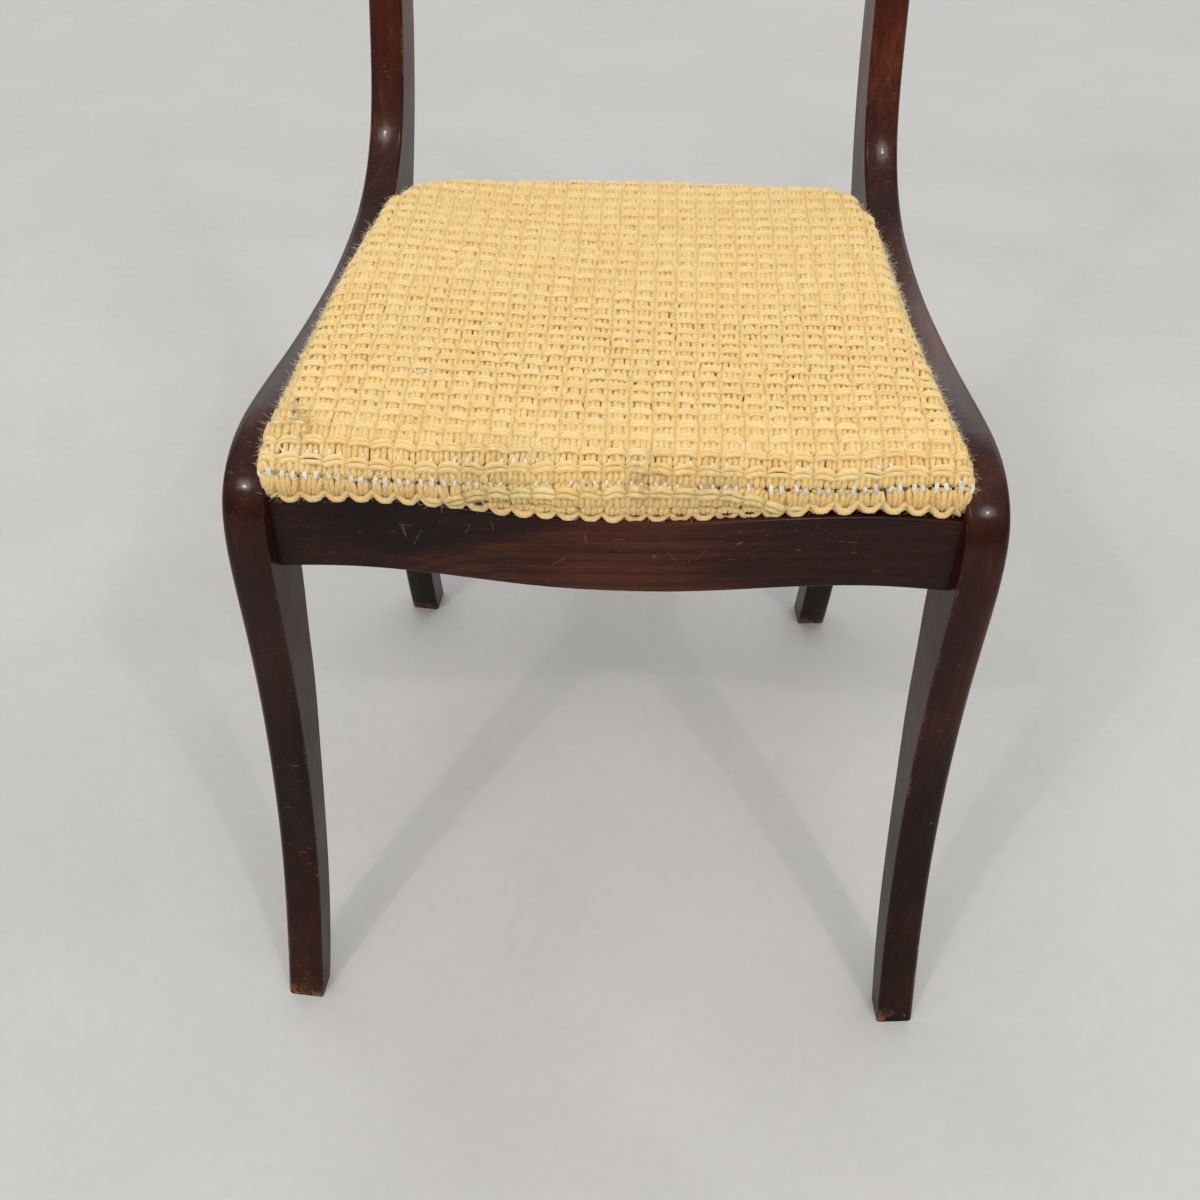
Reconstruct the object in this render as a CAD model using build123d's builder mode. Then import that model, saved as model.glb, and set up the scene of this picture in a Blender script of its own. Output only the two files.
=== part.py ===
from build123d import *
import os
from math import sin, cos, tan, radians

os.makedirs("parts", exist_ok=True)

# ---------------------------------------------------------------------------
# Sabre-leg side chair with a drop-in seat. Millimetres and degrees.
# +X is the sitter's left (right-hand side seen from the front), the front of
# the chair faces -Y, +Z is up. The floor is z = 0.
# In the side profiles, s runs backwards from the toe of the front foot along
# the splayed side of the chair, and z runs up.
# ---------------------------------------------------------------------------
foot_span = 474.0        # across the outside of the front feet
y_toe = -287.0           # toes of the front feet
splay = 4.889            # each side closes in towards the back
cant = 0.415             # front legs and side rails lean out going up
cant_rear = 0.0          # rear stiles stand upright, seen from the front
leg_t = 27.0             # thickness of front legs and side rails
stile_t = 25.5           # thickness of rear stiles
edge_r = 4.0             # rounding of the outer arrises
inner_r = 2.0            # rounding of the inner arrises

s_leg_joint = 125.0      # front leg to side rail
s_stile_joint = 398.0    # side rail to rear stile
z_stile_top = 790.0      # rear stile to crest rail, at the stile's front edge
rake = 11.3              # lean of the upper back

rail_z0, rail_z1 = 373.0, 428.0      # front rail, bottom and top
rail_back_d = 92.0                   # flat inner face of the front rail
rear_rail_d0, rear_rail_d1 = 424.0, 444.0
rear_rail_z0 = 378.0

dowel_r, dowel_gap = 4.75, 0.06      # 9.5 mm dowels in slightly larger holes
block_z0 = 396.0                     # corner blocks reach up to the rail tops
block_leg = 62.0
screw_r, screw_head_r, screw_gap = 2.0, 4.2, 0.06
screw_z = 413.0

seat_clear = 2.0         # seat to side rail, each side
seat_back_d = 437.0      # back edge of the seat
seat_set_back = 3.0      # seat edge behind the front rail's face
lip_z0 = 455.0           # the padded edge swells over the side rails above this height
lip_out = 6.5            # and reaches this far past their inner faces
crown_R = 2380.0         # crown of the seat
crown_top = 470.0
cover_t = 3.2            # yarn cover
lining_t = 0.8           # lining cloth
layer_gap = 0.1
frame_z0, frame_t = 428.0, 14.0
frame_w = 46.0
web_t, web_w = 1.4, 50.0
tack_r, tack_head_r, tack_head_t, tack_len = 0.9, 2.8, 0.8, 10.0

cross_z = 655.0          # cross rail, middle height at the stiles
cross_t = 18.0
cross_sag = 14.0         # backward bow of the cross rail
crest_t = 25.0
crest_sag = 20.0         # backward bow of the crest rail

# side profile of the front leg: toe, shin, knee, top of the rail
leg_front = [(-3.5, -10), (15.6, 45), (32.4, 100), (44.6, 158), (52.2, 218), (55.6, 278), (55.0, 335),
             (53.6, 382), (55.6, 409), (63.6, 431.5), (80.5, 446), (103, 452.6), (s_leg_joint, 453.4)]
leg_back = [(s_leg_joint, 386), (113.5, 377), (107.0, 361), (104.4, 338), (99.6, 300), (94.0, 252), (84.4, 204),
            (73.0, 152), (60.2, 100), (43.6, 48), (23.0, 1), (17.5, -10)]
# side rail, top and bottom
rail_top = [(s_leg_joint, 453.4), (153, 450.9), (182, 447.3), (214, 443.4), (247, 440.4), (280, 438.5),
            (309, 437.7), (335, 438.8), (360, 441.4), (383, 445.4), (s_stile_joint, 449.2)]
rail_bottom = [(s_stile_joint, 383), (345, 388.4), (262, 392), (180, 390.4), (s_leg_joint, 386)]
# rear stile and rear leg
stile_front = [(s_stile_joint, 449.2), (418.5, 459.0), (433.0, 469.8), (443.6, 481.2), (452.0, 493.6),
               (458.6, 507), (467.6, 534), (477.2, 576), (487.6, 625), (503.6, 705), (520.2, z_stile_top)]
stile_back = [(549.6, z_stile_top - 29.4 * tan(radians(11.0))), (536.6, 705), (523.6, 625), (515.2, 572), (510.6, 546),
              (504.6, 521), (497.4, 496), (488.0, 470), (475.6, 441), (456.0, 392), (443.2, 332), (437.2, 270),
              (437.4, 200), (442.6, 130), (453.0, 62), (468.0, 0), (470.8, -10)]
rear_leg_front = [(444.2, -10), (441.0, 0), (425.6, 62), (413.8, 130), (407.4, 200), (405.2, 270), (404.6, 330),
                  (403.0, 364), (s_stile_joint, 383)]
# plan of the front rail's face: x against depth behind the toes
serpentine = [(240, 64.0), (200, 68.2), (160, 69.6), (118, 66.6), (72, 60.6), (38, 57.0), (0, 55.8),
              (-38, 57.0), (-72, 60.6), (-118, 66.6), (-160, 69.6), (-200, 68.2), (-240, 64.0)]

# ---------------------------------------------------------------------------
# reference planes
# ---------------------------------------------------------------------------
sa, ca = sin(radians(splay)), cos(radians(splay))
along = Vector(-sa, ca, 0)           # backwards along the right-hand side


def side_plane(origin, lean):
    up = Vector(sin(radians(lean)) * ca, sin(radians(lean)) * sa, cos(radians(lean)))
    return Plane(origin=origin, x_dir=along, z_dir=along.cross(up))


right_side = side_plane((foot_span / 2, y_toe, 0), cant)
# the rear stile's outer face is flush with the side rail's at s = 420, z = 430
flush = right_side.from_local_coords(Vector(420, 430, 0))
up_rear = side_plane((0, 0, 0), cant_rear).y_dir
right_rear = side_plane(flush - along * 420 - up_rear * 430, cant_rear)
right_inner = right_side.offset(-leg_t)
right_rear_inner = right_rear.offset(-stile_t)


def mirrored(plane):
    o, z = plane.origin, plane.z_dir
    return Plane(origin=(-o.X, o.Y, o.Z), z_dir=(-z.X, z.Y, z.Z))


left_inner = mirrored(right_inner)
left_rear_inner = mirrored(right_rear_inner)


def joint_plane(plane, s, thickness):
    """Cross-section of a side member at s: x inwards from mid-thickness, y up, normal backwards."""
    mid = plane.from_local_coords(Vector(s, 0, -thickness / 2))
    return Plane(origin=mid, x_dir=plane.z_dir * -1, z_dir=along)


leg_joint = joint_plane(right_side, s_leg_joint, leg_t)
stile_joint = joint_plane(right_side, s_stile_joint, leg_t)
leg_joint_z = (404.0, 436.0)
stile_joint_z = (402.0, 432.0)
side_dowel = 26.0        # hole depth each way; the dowel is 1 mm short at both ends

front_dowel_d, front_dowel_z = 81.0, (387.0, 413.0)
rear_dowel_d, rear_dowel_z = 434.0, (392.0, 416.0)
rail_hole, post_hole = 31.0, 18.0


def inner_x(d, z=428.0, t=leg_t):
    """x of the side rail's inner face at depth d behind the toes and height z."""
    sk, ck = sin(radians(cant)), cos(radians(cant))
    s = (d - z * sk * sa + t * ck * sa) / ca
    return foot_span / 2 - s * sa + z * sk * ca - t * ck * ca


def arrises(part, plane, offset, s_cut):
    """Long edges in one face of a side member, without those on its cut ends."""
    picked = []
    for e in part.edges():
        m = [plane.to_local_coords(e @ u) for u in (0.0, 0.5, 1.0)]
        in_face = all(abs(p.Z - offset) < 0.02 for p in m)
        on_cut = any(all(abs(p.X - s) < 0.02 for p in m) for s in s_cut)
        on_floor = all(abs((e @ u).Z) < 0.02 for u in (0.0, 0.5, 1.0))
        if in_face and not on_cut and not on_floor and e.length > 60:
            picked.append(e)
    return picked


# ---------------------------------------------------------------------------
# front legs
# ---------------------------------------------------------------------------
with BuildPart() as front_leg_right:
    with BuildSketch(right_side):
        with BuildLine():
            Spline(*leg_front)
            Line(leg_front[-1], leg_back[0])
            Spline(*leg_back)
            Line(leg_back[-1], leg_front[0])
        make_face()
    extrude(amount=-leg_t)
    split(bisect_by=Plane.XY, keep=Keep.TOP)
    fillet(arrises(front_leg_right.part, right_side, 0, [s_leg_joint]), radius=edge_r)
    fillet(arrises(front_leg_right.part, right_side, -leg_t, [s_leg_joint]), radius=inner_r)
    # dowel holes for the side rail
    with BuildSketch(leg_joint):
        with Locations(*[(0, z) for z in leg_joint_z]):
            Circle(dowel_r + dowel_gap)
    extrude(amount=-side_dowel, mode=Mode.SUBTRACT)
    # dowel holes for the front rail
    with BuildSketch(Plane.YZ.offset(inner_x(front_dowel_d) + post_hole)):
        with Locations(*[(y_toe + front_dowel_d, z) for z in front_dowel_z]):
            Circle(dowel_r + dowel_gap)
    extrude(amount=-post_hole - 6, mode=Mode.SUBTRACT)
    # pilot hole for the corner block's screw
    with BuildSketch(Plane.YZ.offset(inner_x(rail_back_d + 20) + 17)):
        with Locations((y_toe + rail_back_d + 20, screw_z)):
            Circle(screw_r + screw_gap)
    extrude(amount=-24, mode=Mode.SUBTRACT)

with BuildPart() as front_leg_left:
    mirror(front_leg_right.part, about=Plane.YZ)

# ---------------------------------------------------------------------------
# side rails
# ---------------------------------------------------------------------------
with BuildPart() as side_rail_right:
    with BuildSketch(right_side):
        with BuildLine():
            Spline(*rail_top)
            Line(rail_top[-1], rail_bottom[0])
            Spline(*rail_bottom)
            Line(rail_bottom[-1], rail_top[0])
        make_face()
    extrude(amount=-leg_t)
    fillet(arrises(side_rail_right.part, right_side, 0, [s_leg_joint, s_stile_joint]), radius=edge_r)
    fillet(arrises(side_rail_right.part, right_side, -leg_t, [s_leg_joint, s_stile_joint]), radius=inner_r)
    with BuildSketch(leg_joint):
        with Locations(*[(0, z) for z in leg_joint_z]):
            Circle(dowel_r + dowel_gap)
    extrude(amount=side_dowel, mode=Mode.SUBTRACT)
    with BuildSketch(stile_joint):
        with Locations(*[(0, z) for z in stile_joint_z]):
            Circle(dowel_r + dowel_gap)
    extrude(amount=-side_dowel, mode=Mode.SUBTRACT)
    with BuildSketch(Plane.YZ.offset(inner_x(rear_rail_d0 - 42) + 17)):
        with Locations((y_toe + rear_rail_d0 - 42, screw_z)):
            Circle(screw_r + screw_gap)
    extrude(amount=-24, mode=Mode.SUBTRACT)

with BuildPart() as side_rail_left:
    mirror(side_rail_right.part, about=Plane.YZ)

# ---------------------------------------------------------------------------
# rear stiles, each in one piece with its rear leg
# ---------------------------------------------------------------------------
crest_origin = right_rear.from_local_coords(Vector(520.2 + 14.5, z_stile_top - 2.8, -stile_t / 2))
stile_x = crest_origin.X             # middle of the stile's top end
crest_y, crest_z = crest_origin.Y, crest_origin.Z
back_up = Vector(0, sin(radians(rake)), cos(radians(rake)))
# face-on plane of the upper back: x across, y up along the rake, normal forwards
crest_face = Plane(origin=(0, crest_y, crest_z), x_dir=(1, 0, 0), z_dir=Vector(1, 0, 0).cross(back_up))
# plan plane of the crest rail, square to the rake: x across, y backwards
crest_plan = Plane(origin=(0, crest_y, crest_z), x_dir=(1, 0, 0), z_dir=back_up)
crest_dowel_x = (stile_x - 6.0, stile_x + 6.0)
crest_dowel_r, crest_hole = 3.5, 24.0

cross_origin = right_rear.from_local_coords(Vector(511.0, cross_z, -stile_t))
cross_face = Plane(origin=(0, cross_origin.Y, cross_origin.Z), x_dir=(1, 0, 0), z_dir=Vector(1, 0, 0).cross(back_up))
cross_plan = Plane(origin=(0, cross_origin.Y, cross_origin.Z), x_dir=(1, 0, 0), z_dir=back_up)
cross_dowel_r, cross_dowel_v = 3.5, (-6.5, 6.5)

with BuildPart() as rear_stile_right:
    with BuildSketch(right_rear):
        with BuildLine():
            Spline(*stile_front)
            Line(stile_front[-1], stile_back[0])
            Spline(*stile_back)
            Line(stile_back[-1], rear_leg_front[0])
            Spline(*rear_leg_front)
            Line(rear_leg_front[-1], stile_front[0])
        make_face()
    extrude(amount=-stile_t)
    split(bisect_by=Plane.XY, keep=Keep.TOP)
    split(bisect_by=crest_plan, keep=Keep.BOTTOM)
    fillet(arrises(rear_stile_right.part, right_rear, 0, [s_stile_joint]), radius=3.2)
    fillet(arrises(rear_stile_right.part, right_rear, -stile_t, [s_stile_joint]), radius=inner_r)
    with BuildSketch(stile_joint):
        with Locations(*[(0, z) for z in stile_joint_z]):
            Circle(dowel_r + dowel_gap)
    extrude(amount=side_dowel, mode=Mode.SUBTRACT)
    with BuildSketch(Plane.YZ.offset(inner_x(rear_dowel_d) + post_hole)):
        with Locations(*[(y_toe + rear_dowel_d, z) for z in rear_dowel_z]):
            Circle(dowel_r + dowel_gap)
    extrude(amount=-post_hole - 6, mode=Mode.SUBTRACT)
    with BuildSketch(crest_plan):
        with Locations(*[(x, 0) for x in crest_dowel_x]):
            Circle(crest_dowel_r + dowel_gap)
    extrude(amount=-crest_hole, mode=Mode.SUBTRACT)
    # dowel holes for the cross rail
    with BuildSketch(Plane(origin=(cross_origin.X + 14, cross_origin.Y, cross_origin.Z), x_dir=(0, back_up.Z, -back_up.Y), z_dir=(1, 0, 0))):
        with Locations(*[(0, v) for v in cross_dowel_v]):
            Circle(cross_dowel_r + dowel_gap)
    extrude(amount=-20, mode=Mode.SUBTRACT)

with BuildPart() as rear_stile_left:
    mirror(rear_stile_right.part, about=Plane.YZ)

# ---------------------------------------------------------------------------
# front rail: serpentine face, flat inner face, ends cut to the legs
# ---------------------------------------------------------------------------
with BuildPart() as front_rail:
    with BuildSketch(Plane.XY.offset(rail_z0)):
        with BuildLine():
            Spline(*[(x, y_toe + d) for x, d in serpentine])
            Line((-240, y_toe + serpentine[-1][1]), (-240, y_toe + rail_back_d))
            Line((-240, y_toe + rail_back_d), (240, y_toe + rail_back_d))
            Line((240, y_toe + rail_back_d), (240, y_toe + serpentine[0][1]))
        make_face()
    extrude(amount=rail_z1 - rail_z0)
    face_edges = [e for e in front_rail.part.edges()
                  if e.length > 400 and (e @ 0.5).Y < y_toe + rail_back_d - 10]
    fillet(face_edges, radius=2.0)
    split(bisect_by=right_inner, keep=Keep.BOTTOM)
    split(bisect_by=left_inner, keep=Keep.BOTTOM)
    for side in (1, -1):
        with BuildSketch(Plane.YZ.offset(side * (inner_x(front_dowel_d) - rail_hole))):
            with Locations(*[(y_toe + front_dowel_d, z) for z in front_dowel_z]):
                Circle(dowel_r + dowel_gap)
        extrude(amount=side * (rail_hole + 6), mode=Mode.SUBTRACT)
        with BuildSketch(Plane.XZ.offset(-(y_toe + rail_back_d))):
            with Locations((side * (inner_x(rail_back_d) - 42), screw_z)):
                Circle(screw_r + screw_gap)
        extrude(amount=16, mode=Mode.SUBTRACT)

# ---------------------------------------------------------------------------
# rear rail
# ---------------------------------------------------------------------------
with BuildPart() as rear_rail:
    with BuildSketch(Plane.XY.offset(rear_rail_z0)):
        with Locations((0, y_toe + (rear_rail_d0 + rear_rail_d1) / 2)):
            Rectangle(440, rear_rail_d1 - rear_rail_d0)
    extrude(amount=rail_z1 - rear_rail_z0)
    split(bisect_by=right_rear_inner, keep=Keep.BOTTOM)
    split(bisect_by=left_rear_inner, keep=Keep.BOTTOM)
    for side in (1, -1):
        with BuildSketch(Plane.YZ.offset(side * (inner_x(rear_dowel_d) - rail_hole))):
            with Locations(*[(y_toe + rear_dowel_d, z) for z in rear_dowel_z]):
                Circle(dowel_r + dowel_gap)
        extrude(amount=side * (rail_hole + 6), mode=Mode.SUBTRACT)
        with BuildSketch(Plane.XZ.offset(-(y_toe + rear_rail_d0))):
            with Locations((side * (inner_x(rear_rail_d0) - 42), screw_z)):
                Circle(screw_r + screw_gap)
        extrude(amount=-14, mode=Mode.SUBTRACT)

# ---------------------------------------------------------------------------
# cross rail and crest rail: bowed backwards, wavy outline
# ---------------------------------------------------------------------------
cross_top = [(210, 14), (165, 13), (120, 10.5), (80, 13), (42, 22), (0, 28),
             (-42, 22), (-80, 13), (-120, 10.5), (-165, 13), (-210, 14)]
cross_low = [(-210, -14), (-165, -14.5), (-120, -18.5), (-80, -18.5), (-42, -15), (0, -13),
             (42, -15), (80, -18.5), (120, -18.5), (165, -14.5), (210, -14)]
with BuildPart() as cross_rail:
    with BuildSketch(cross_plan.offset(-60)):
        with BuildLine():
            ThreePointArc((-210, -cross_t / 2 - 5), (0, cross_sag - cross_t / 2), (210, -cross_t / 2 - 5))
            Line((210, -cross_t / 2 - 5), (210, cross_t / 2 - 5))
            ThreePointArc((210, cross_t / 2 - 5), (0, cross_sag + cross_t / 2), (-210, cross_t / 2 - 5))
            Line((-210, cross_t / 2 - 5), (-210, -cross_t / 2 - 5))
        make_face()
    extrude(amount=120)
    with BuildSketch(cross_face.offset(-80)):
        with BuildLine():
            Spline(*cross_top)
            Line(cross_top[-1], cross_low[0])
            Spline(*cross_low)
            Line(cross_low[-1], cross_top[0])
        make_face()
    extrude(amount=160, mode=Mode.INTERSECT)
    split(bisect_by=right_rear_inner, keep=Keep.BOTTOM)
    split(bisect_by=left_rear_inner, keep=Keep.BOTTOM)
    for side in (1, -1):
        with BuildSketch(Plane(origin=(side * (cross_origin.X - 18), cross_origin.Y, cross_origin.Z),
                               x_dir=(0, back_up.Z, -back_up.Y), z_dir=(1, 0, 0))):
            with Locations(*[(0, v) for v in cross_dowel_v]):
                Circle(cross_dowel_r + dowel_gap)
        extrude(amount=side * 24, mode=Mode.SUBTRACT)

crest_half = stile_x + stile_t / 2 + 0.4
crest_top = [(crest_half, 24), (crest_half - 6, 37), (crest_half - 26, 44), (130, 44), (90, 47), (48, 57), (0, 63),
             (-48, 57), (-90, 47), (-130, 44), (-crest_half + 26, 44), (-crest_half + 6, 37), (-crest_half, 24)]
crest_low = [(-stile_x + stile_t / 2 + 2, 0), (-145, 1.5), (-105, -1.5), (-55, -9), (0, -13),
             (55, -9), (105, -1.5), (145, 1.5), (stile_x - stile_t / 2 - 2, 0)]
with BuildPart() as crest_rail:
    with BuildSketch(crest_plan.offset(-40)):
        with BuildLine():
            ThreePointArc((-215, -crest_t / 2 - 3), (0, crest_sag - crest_t / 2), (215, -crest_t / 2 - 3))
            Line((215, -crest_t / 2 - 3), (215, crest_t / 2 - 3))
            ThreePointArc((215, crest_t / 2 - 3), (0, crest_sag + crest_t / 2), (-215, crest_t / 2 - 3))
            Line((-215, crest_t / 2 - 3), (-215, -crest_t / 2 - 3))
        make_face()
    extrude(amount=140)
    with BuildSketch(crest_face.offset(-80)):
        with BuildLine():
            Spline(*crest_top)
            Line(crest_top[-1], (-crest_half, 0))
            Line((-crest_half, 0), crest_low[0])
            Spline(*crest_low)
            Line(crest_low[-1], (crest_half, 0))
            Line((crest_half, 0), crest_top[0])
        make_face()
    extrude(amount=160, mode=Mode.INTERSECT)
    with BuildSketch(crest_plan):
        with Locations(*[(side * x, 0) for side in (1, -1) for x in crest_dowel_x]):
            Circle(crest_dowel_r + dowel_gap)
    extrude(amount=crest_hole, mode=Mode.SUBTRACT)

# ---------------------------------------------------------------------------
# corner blocks: glued and screwed into the four corners, level with the rails
# ---------------------------------------------------------------------------
def block(front):
    """Corner points of a block on the right-hand side, in plan."""
    d0 = rail_back_d if front else rear_rail_d0
    step = 1 if front else -1
    x0 = inner_x(d0, block_z0) + 8
    return [(x0, y_toe + d0), (inner_x(d0) - block_leg, y_toe + d0),
            (inner_x(d0) - block_leg, y_toe + d0 + step * 9),
            (inner_x(d0) - 9, y_toe + d0 + step * block_leg), (x0, y_toe + d0 + step * block_leg)]


with BuildPart() as corner_block_front_right:
    with BuildSketch(Plane.XY.offset(block_z0)):
        with BuildLine():
            Polyline(*block(True), close=True)
        make_face()
    extrude(amount=rail_z1 - block_z0)
    split(bisect_by=right_inner, keep=Keep.BOTTOM)
    # screw into the front rail, head sunk in a straight bore
    with BuildSketch(Plane.XZ.offset(-(y_toe + rail_back_d))):
        with Locations((inner_x(rail_back_d) - 42, screw_z)):
            Circle(screw_r + screw_gap)
    extrude(amount=-60, mode=Mode.SUBTRACT)
    with BuildSketch(Plane.XZ.offset(-(y_toe + rail_back_d + 14))):
        with Locations((inner_x(rail_back_d) - 42, screw_z)):
            Circle(screw_head_r + 0.4)
    extrude(amount=-60, mode=Mode.SUBTRACT)
    # screw into the leg
    with BuildSketch(Plane.YZ.offset(inner_x(rail_back_d + 20) + 4)):
        with Locations((y_toe + rail_back_d + 20, screw_z)):
            Circle(screw_r + screw_gap)
    extrude(amount=-70, mode=Mode.SUBTRACT)
    with BuildSketch(Plane.YZ.offset(inner_x(rail_back_d + 20) - 16)):
        with Locations((y_toe + rail_back_d + 20, screw_z)):
            Circle(screw_head_r + 0.4)
    extrude(amount=-60, mode=Mode.SUBTRACT)

with BuildPart() as corner_block_front_left:
    mirror(corner_block_front_right.part, about=Plane.YZ)

with BuildPart() as corner_block_rear_right:
    with BuildSketch(Plane.XY.offset(block_z0)):
        with BuildLine():
            Polyline(*block(False), close=True)
        make_face()
    extrude(amount=rail_z1 - block_z0)
    split(bisect_by=right_inner, keep=Keep.BOTTOM)
    with BuildSketch(Plane.XZ.offset(-(y_toe + rear_rail_d0))):
        with Locations((inner_x(rear_rail_d0) - 42, screw_z)):
            Circle(screw_r + screw_gap)
    extrude(amount=60, mode=Mode.SUBTRACT)
    with BuildSketch(Plane.XZ.offset(-(y_toe + rear_rail_d0 - 14))):
        with Locations((inner_x(rear_rail_d0) - 42, screw_z)):
            Circle(screw_head_r + 0.4)
    extrude(amount=60, mode=Mode.SUBTRACT)
    with BuildSketch(Plane.YZ.offset(inner_x(rear_rail_d0 - 42) + 4)):
        with Locations((y_toe + rear_rail_d0 - 42, screw_z)):
            Circle(screw_r + screw_gap)
    extrude(amount=-70, mode=Mode.SUBTRACT)
    with BuildSketch(Plane.YZ.offset(inner_x(rear_rail_d0 - 42) - 14)):
        with Locations((y_toe + rear_rail_d0 - 42, screw_z)):
            Circle(screw_head_r + 0.4)
    extrude(amount=-60, mode=Mode.SUBTRACT)

with BuildPart() as corner_block_rear_left:
    mirror(corner_block_rear_right.part, about=Plane.YZ)


def screw_profile(length):
    """Half section of a countersunk wood screw: x radius, y from the head's top to the tip."""
    return [(0, 0), (screw_head_r, 0), (screw_head_r, 0.6), (screw_r, 3.2), (screw_r, length - 4), (0.5, length), (0, length)]


def screw_plane(x, d, direction):
    """Axis plane of a screw whose head's top is at (x, d): y of the plane points to the tip."""
    return Plane(origin=(x, y_toe + d, screw_z), x_dir=(0, 0, 1), z_dir=Vector(0, 0, 1).cross(Vector(direction)))


screws = [
    (inner_x(rail_back_d) - 42, rail_back_d + 17.3, (0, -1, 0), 31),
    (inner_x(rail_back_d + 20) - 19.3, rail_back_d + 20, (1, 0, 0), 34),
    (inner_x(rear_rail_d0) - 42, rear_rail_d0 - 17.3, (0, 1, 0), 30),
    (inner_x(rear_rail_d0 - 42) - 17.3, rear_rail_d0 - 42, (1, 0, 0), 33),
]
with BuildPart() as corner_block_screws:
    for x, d, direction, length in screws:
        plane = screw_plane(x, d, direction)
        with BuildSketch(plane):
            with BuildLine():
                Polyline(*screw_profile(length), close=True)
            make_face()
        revolve(axis=Axis(plane.origin, plane.y_dir))
    mirror(about=Plane.YZ)

# ---------------------------------------------------------------------------
# dowels of the frame
# ---------------------------------------------------------------------------
with BuildPart() as front_rail_dowels:
    for side in (1, -1):
        with BuildSketch(Plane.YZ.offset(side * (inner_x(front_dowel_d) - rail_hole + 1))):
            with Locations(*[(y_toe + front_dowel_d, z) for z in front_dowel_z]):
                Circle(dowel_r)
        extrude(amount=side * (rail_hole + post_hole - 2))

with BuildPart() as rear_rail_dowels:
    for side in (1, -1):
        with BuildSketch(Plane.YZ.offset(side * (inner_x(rear_dowel_d) - rail_hole + 1))):
            with Locations(*[(y_toe + rear_dowel_d, z) for z in rear_dowel_z]):
                Circle(dowel_r)
        extrude(amount=side * (rail_hole + post_hole - 2))

with BuildPart() as leg_to_side_rail_dowels:
    with BuildSketch(leg_joint.offset(-side_dowel + 1)):
        with Locations(*[(0, z) for z in leg_joint_z]):
            Circle(dowel_r)
    extrude(amount=2 * side_dowel - 2)
    mirror(about=Plane.YZ)

with BuildPart() as side_rail_to_stile_dowels:
    with BuildSketch(stile_joint.offset(-side_dowel + 1)):
        with Locations(*[(0, z) for z in stile_joint_z]):
            Circle(dowel_r)
    extrude(amount=2 * side_dowel - 2)
    mirror(about=Plane.YZ)

with BuildPart() as crest_rail_dowels:
    with BuildSketch(crest_plan.offset(-crest_hole + 1)):
        with Locations(*[(side * x, 0) for side in (1, -1) for x in crest_dowel_x]):
            Circle(crest_dowel_r)
    extrude(amount=2 * crest_hole - 2)

with BuildPart() as cross_rail_dowels:
    with BuildSketch(Plane(origin=(cross_origin.X - 17, cross_origin.Y, cross_origin.Z),
                           x_dir=(0, back_up.Z, -back_up.Y), z_dir=(1, 0, 0))):
        with Locations(*[(0, v) for v in cross_dowel_v]):
            Circle(cross_dowel_r)
    extrude(amount=30)
    mirror(about=Plane.YZ)


# ---------------------------------------------------------------------------
# drop-in seat
# ---------------------------------------------------------------------------
def seat_line(inset):
    """Draws the seat's outline, moved in by inset: serpentine front, tapered sides, straight back."""
    side = (seat_clear + inset) / ca
    d_back = seat_back_d - inset
    d_front = 69.0 + seat_set_back + inset
    xf, xb = inner_x(d_front) - side, inner_x(d_back) - side
    front = [(xf, y_toe + d_front)]
    front += [(x * xf / 207.0, y_toe + d + seat_set_back + inset) for x, d in serpentine if abs(x) < 165]
    front += [(-xf, y_toe + d_front)]
    Spline(*front)
    Line(front[-1], (-xb, y_toe + d_back))
    Line((-xb, y_toe + d_back), (xb, y_toe + d_back))
    Line((xb, y_toe + d_back), front[0])


def seat_corners(sketch, front_r, back_r):
    """Rounds the four corners of a seat outline."""
    corners = sketch.vertices().sort_by(Axis.Y)
    fillet(corners[-2:], radius=back_r)
    corners = sketch.vertices().filter_by(lambda v: abs(v.X) > 190).sort_by(Axis.Y)[:2]
    fillet(corners, radius=front_r)


def crown(thinner):
    """Large ball whose top gives the seat's crown."""
    with Locations((0, y_toe + 250, crown_top - crown_R)):
        Sphere(crown_R - thinner, mode=Mode.INTERSECT)


with BuildPart() as cover_hollow:
    with BuildSketch(Plane.XY.offset(frame_z0)) as sk:
        with BuildLine():
            seat_line(cover_t)
        make_face()
        seat_corners(sk, 5, 17)
    extrude(amount=60)
    crown(cover_t)

with BuildPart() as seat_cover:
    with BuildSketch(Plane.XY.offset(frame_z0 + 0.6)) as sk:
        with BuildLine():
            seat_line(0)
        make_face()
        seat_corners(sk, 8, 20)
    extrude(amount=60)
    # swelling edge over the side rails
    with BuildSketch(Plane.XY.offset(lip_z0)):
        with BuildLine():
            Polyline(*[(side * (inner_x(d) + out), y_toe + d) for side, row in
                       ((1, [(84, -6), (100, lip_out - 2), (140, lip_out), (360, lip_out), (392, lip_out - 3), (408, -6)]),
                        (-1, [(408, -6), (392, lip_out - 3), (360, lip_out), (140, lip_out), (100, lip_out - 2), (84, -6)]))
                       for d, out in row], close=True)
        make_face()
    extrude(amount=33.6)
    crown(0)
    add(cover_hollow.part, mode=Mode.SUBTRACT)

lining_in = cover_t + layer_gap
with BuildPart() as lining_hollow:
    with BuildSketch(Plane.XY.offset(frame_z0)) as sk:
        with BuildLine():
            seat_line(lining_in + lining_t)
        make_face()
        seat_corners(sk, 4, 16)
    extrude(amount=60)
    crown(lining_in + lining_t)

with BuildPart() as lining_cloth:
    with BuildSketch(Plane.XY.offset(frame_z0 + 0.6)) as sk:
        with BuildLine():
            seat_line(lining_in)
        make_face()
        seat_corners(sk, 4.8, 16.8)
    extrude(amount=60)
    crown(lining_in)
    add(lining_hollow.part, mode=Mode.SUBTRACT)

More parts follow.
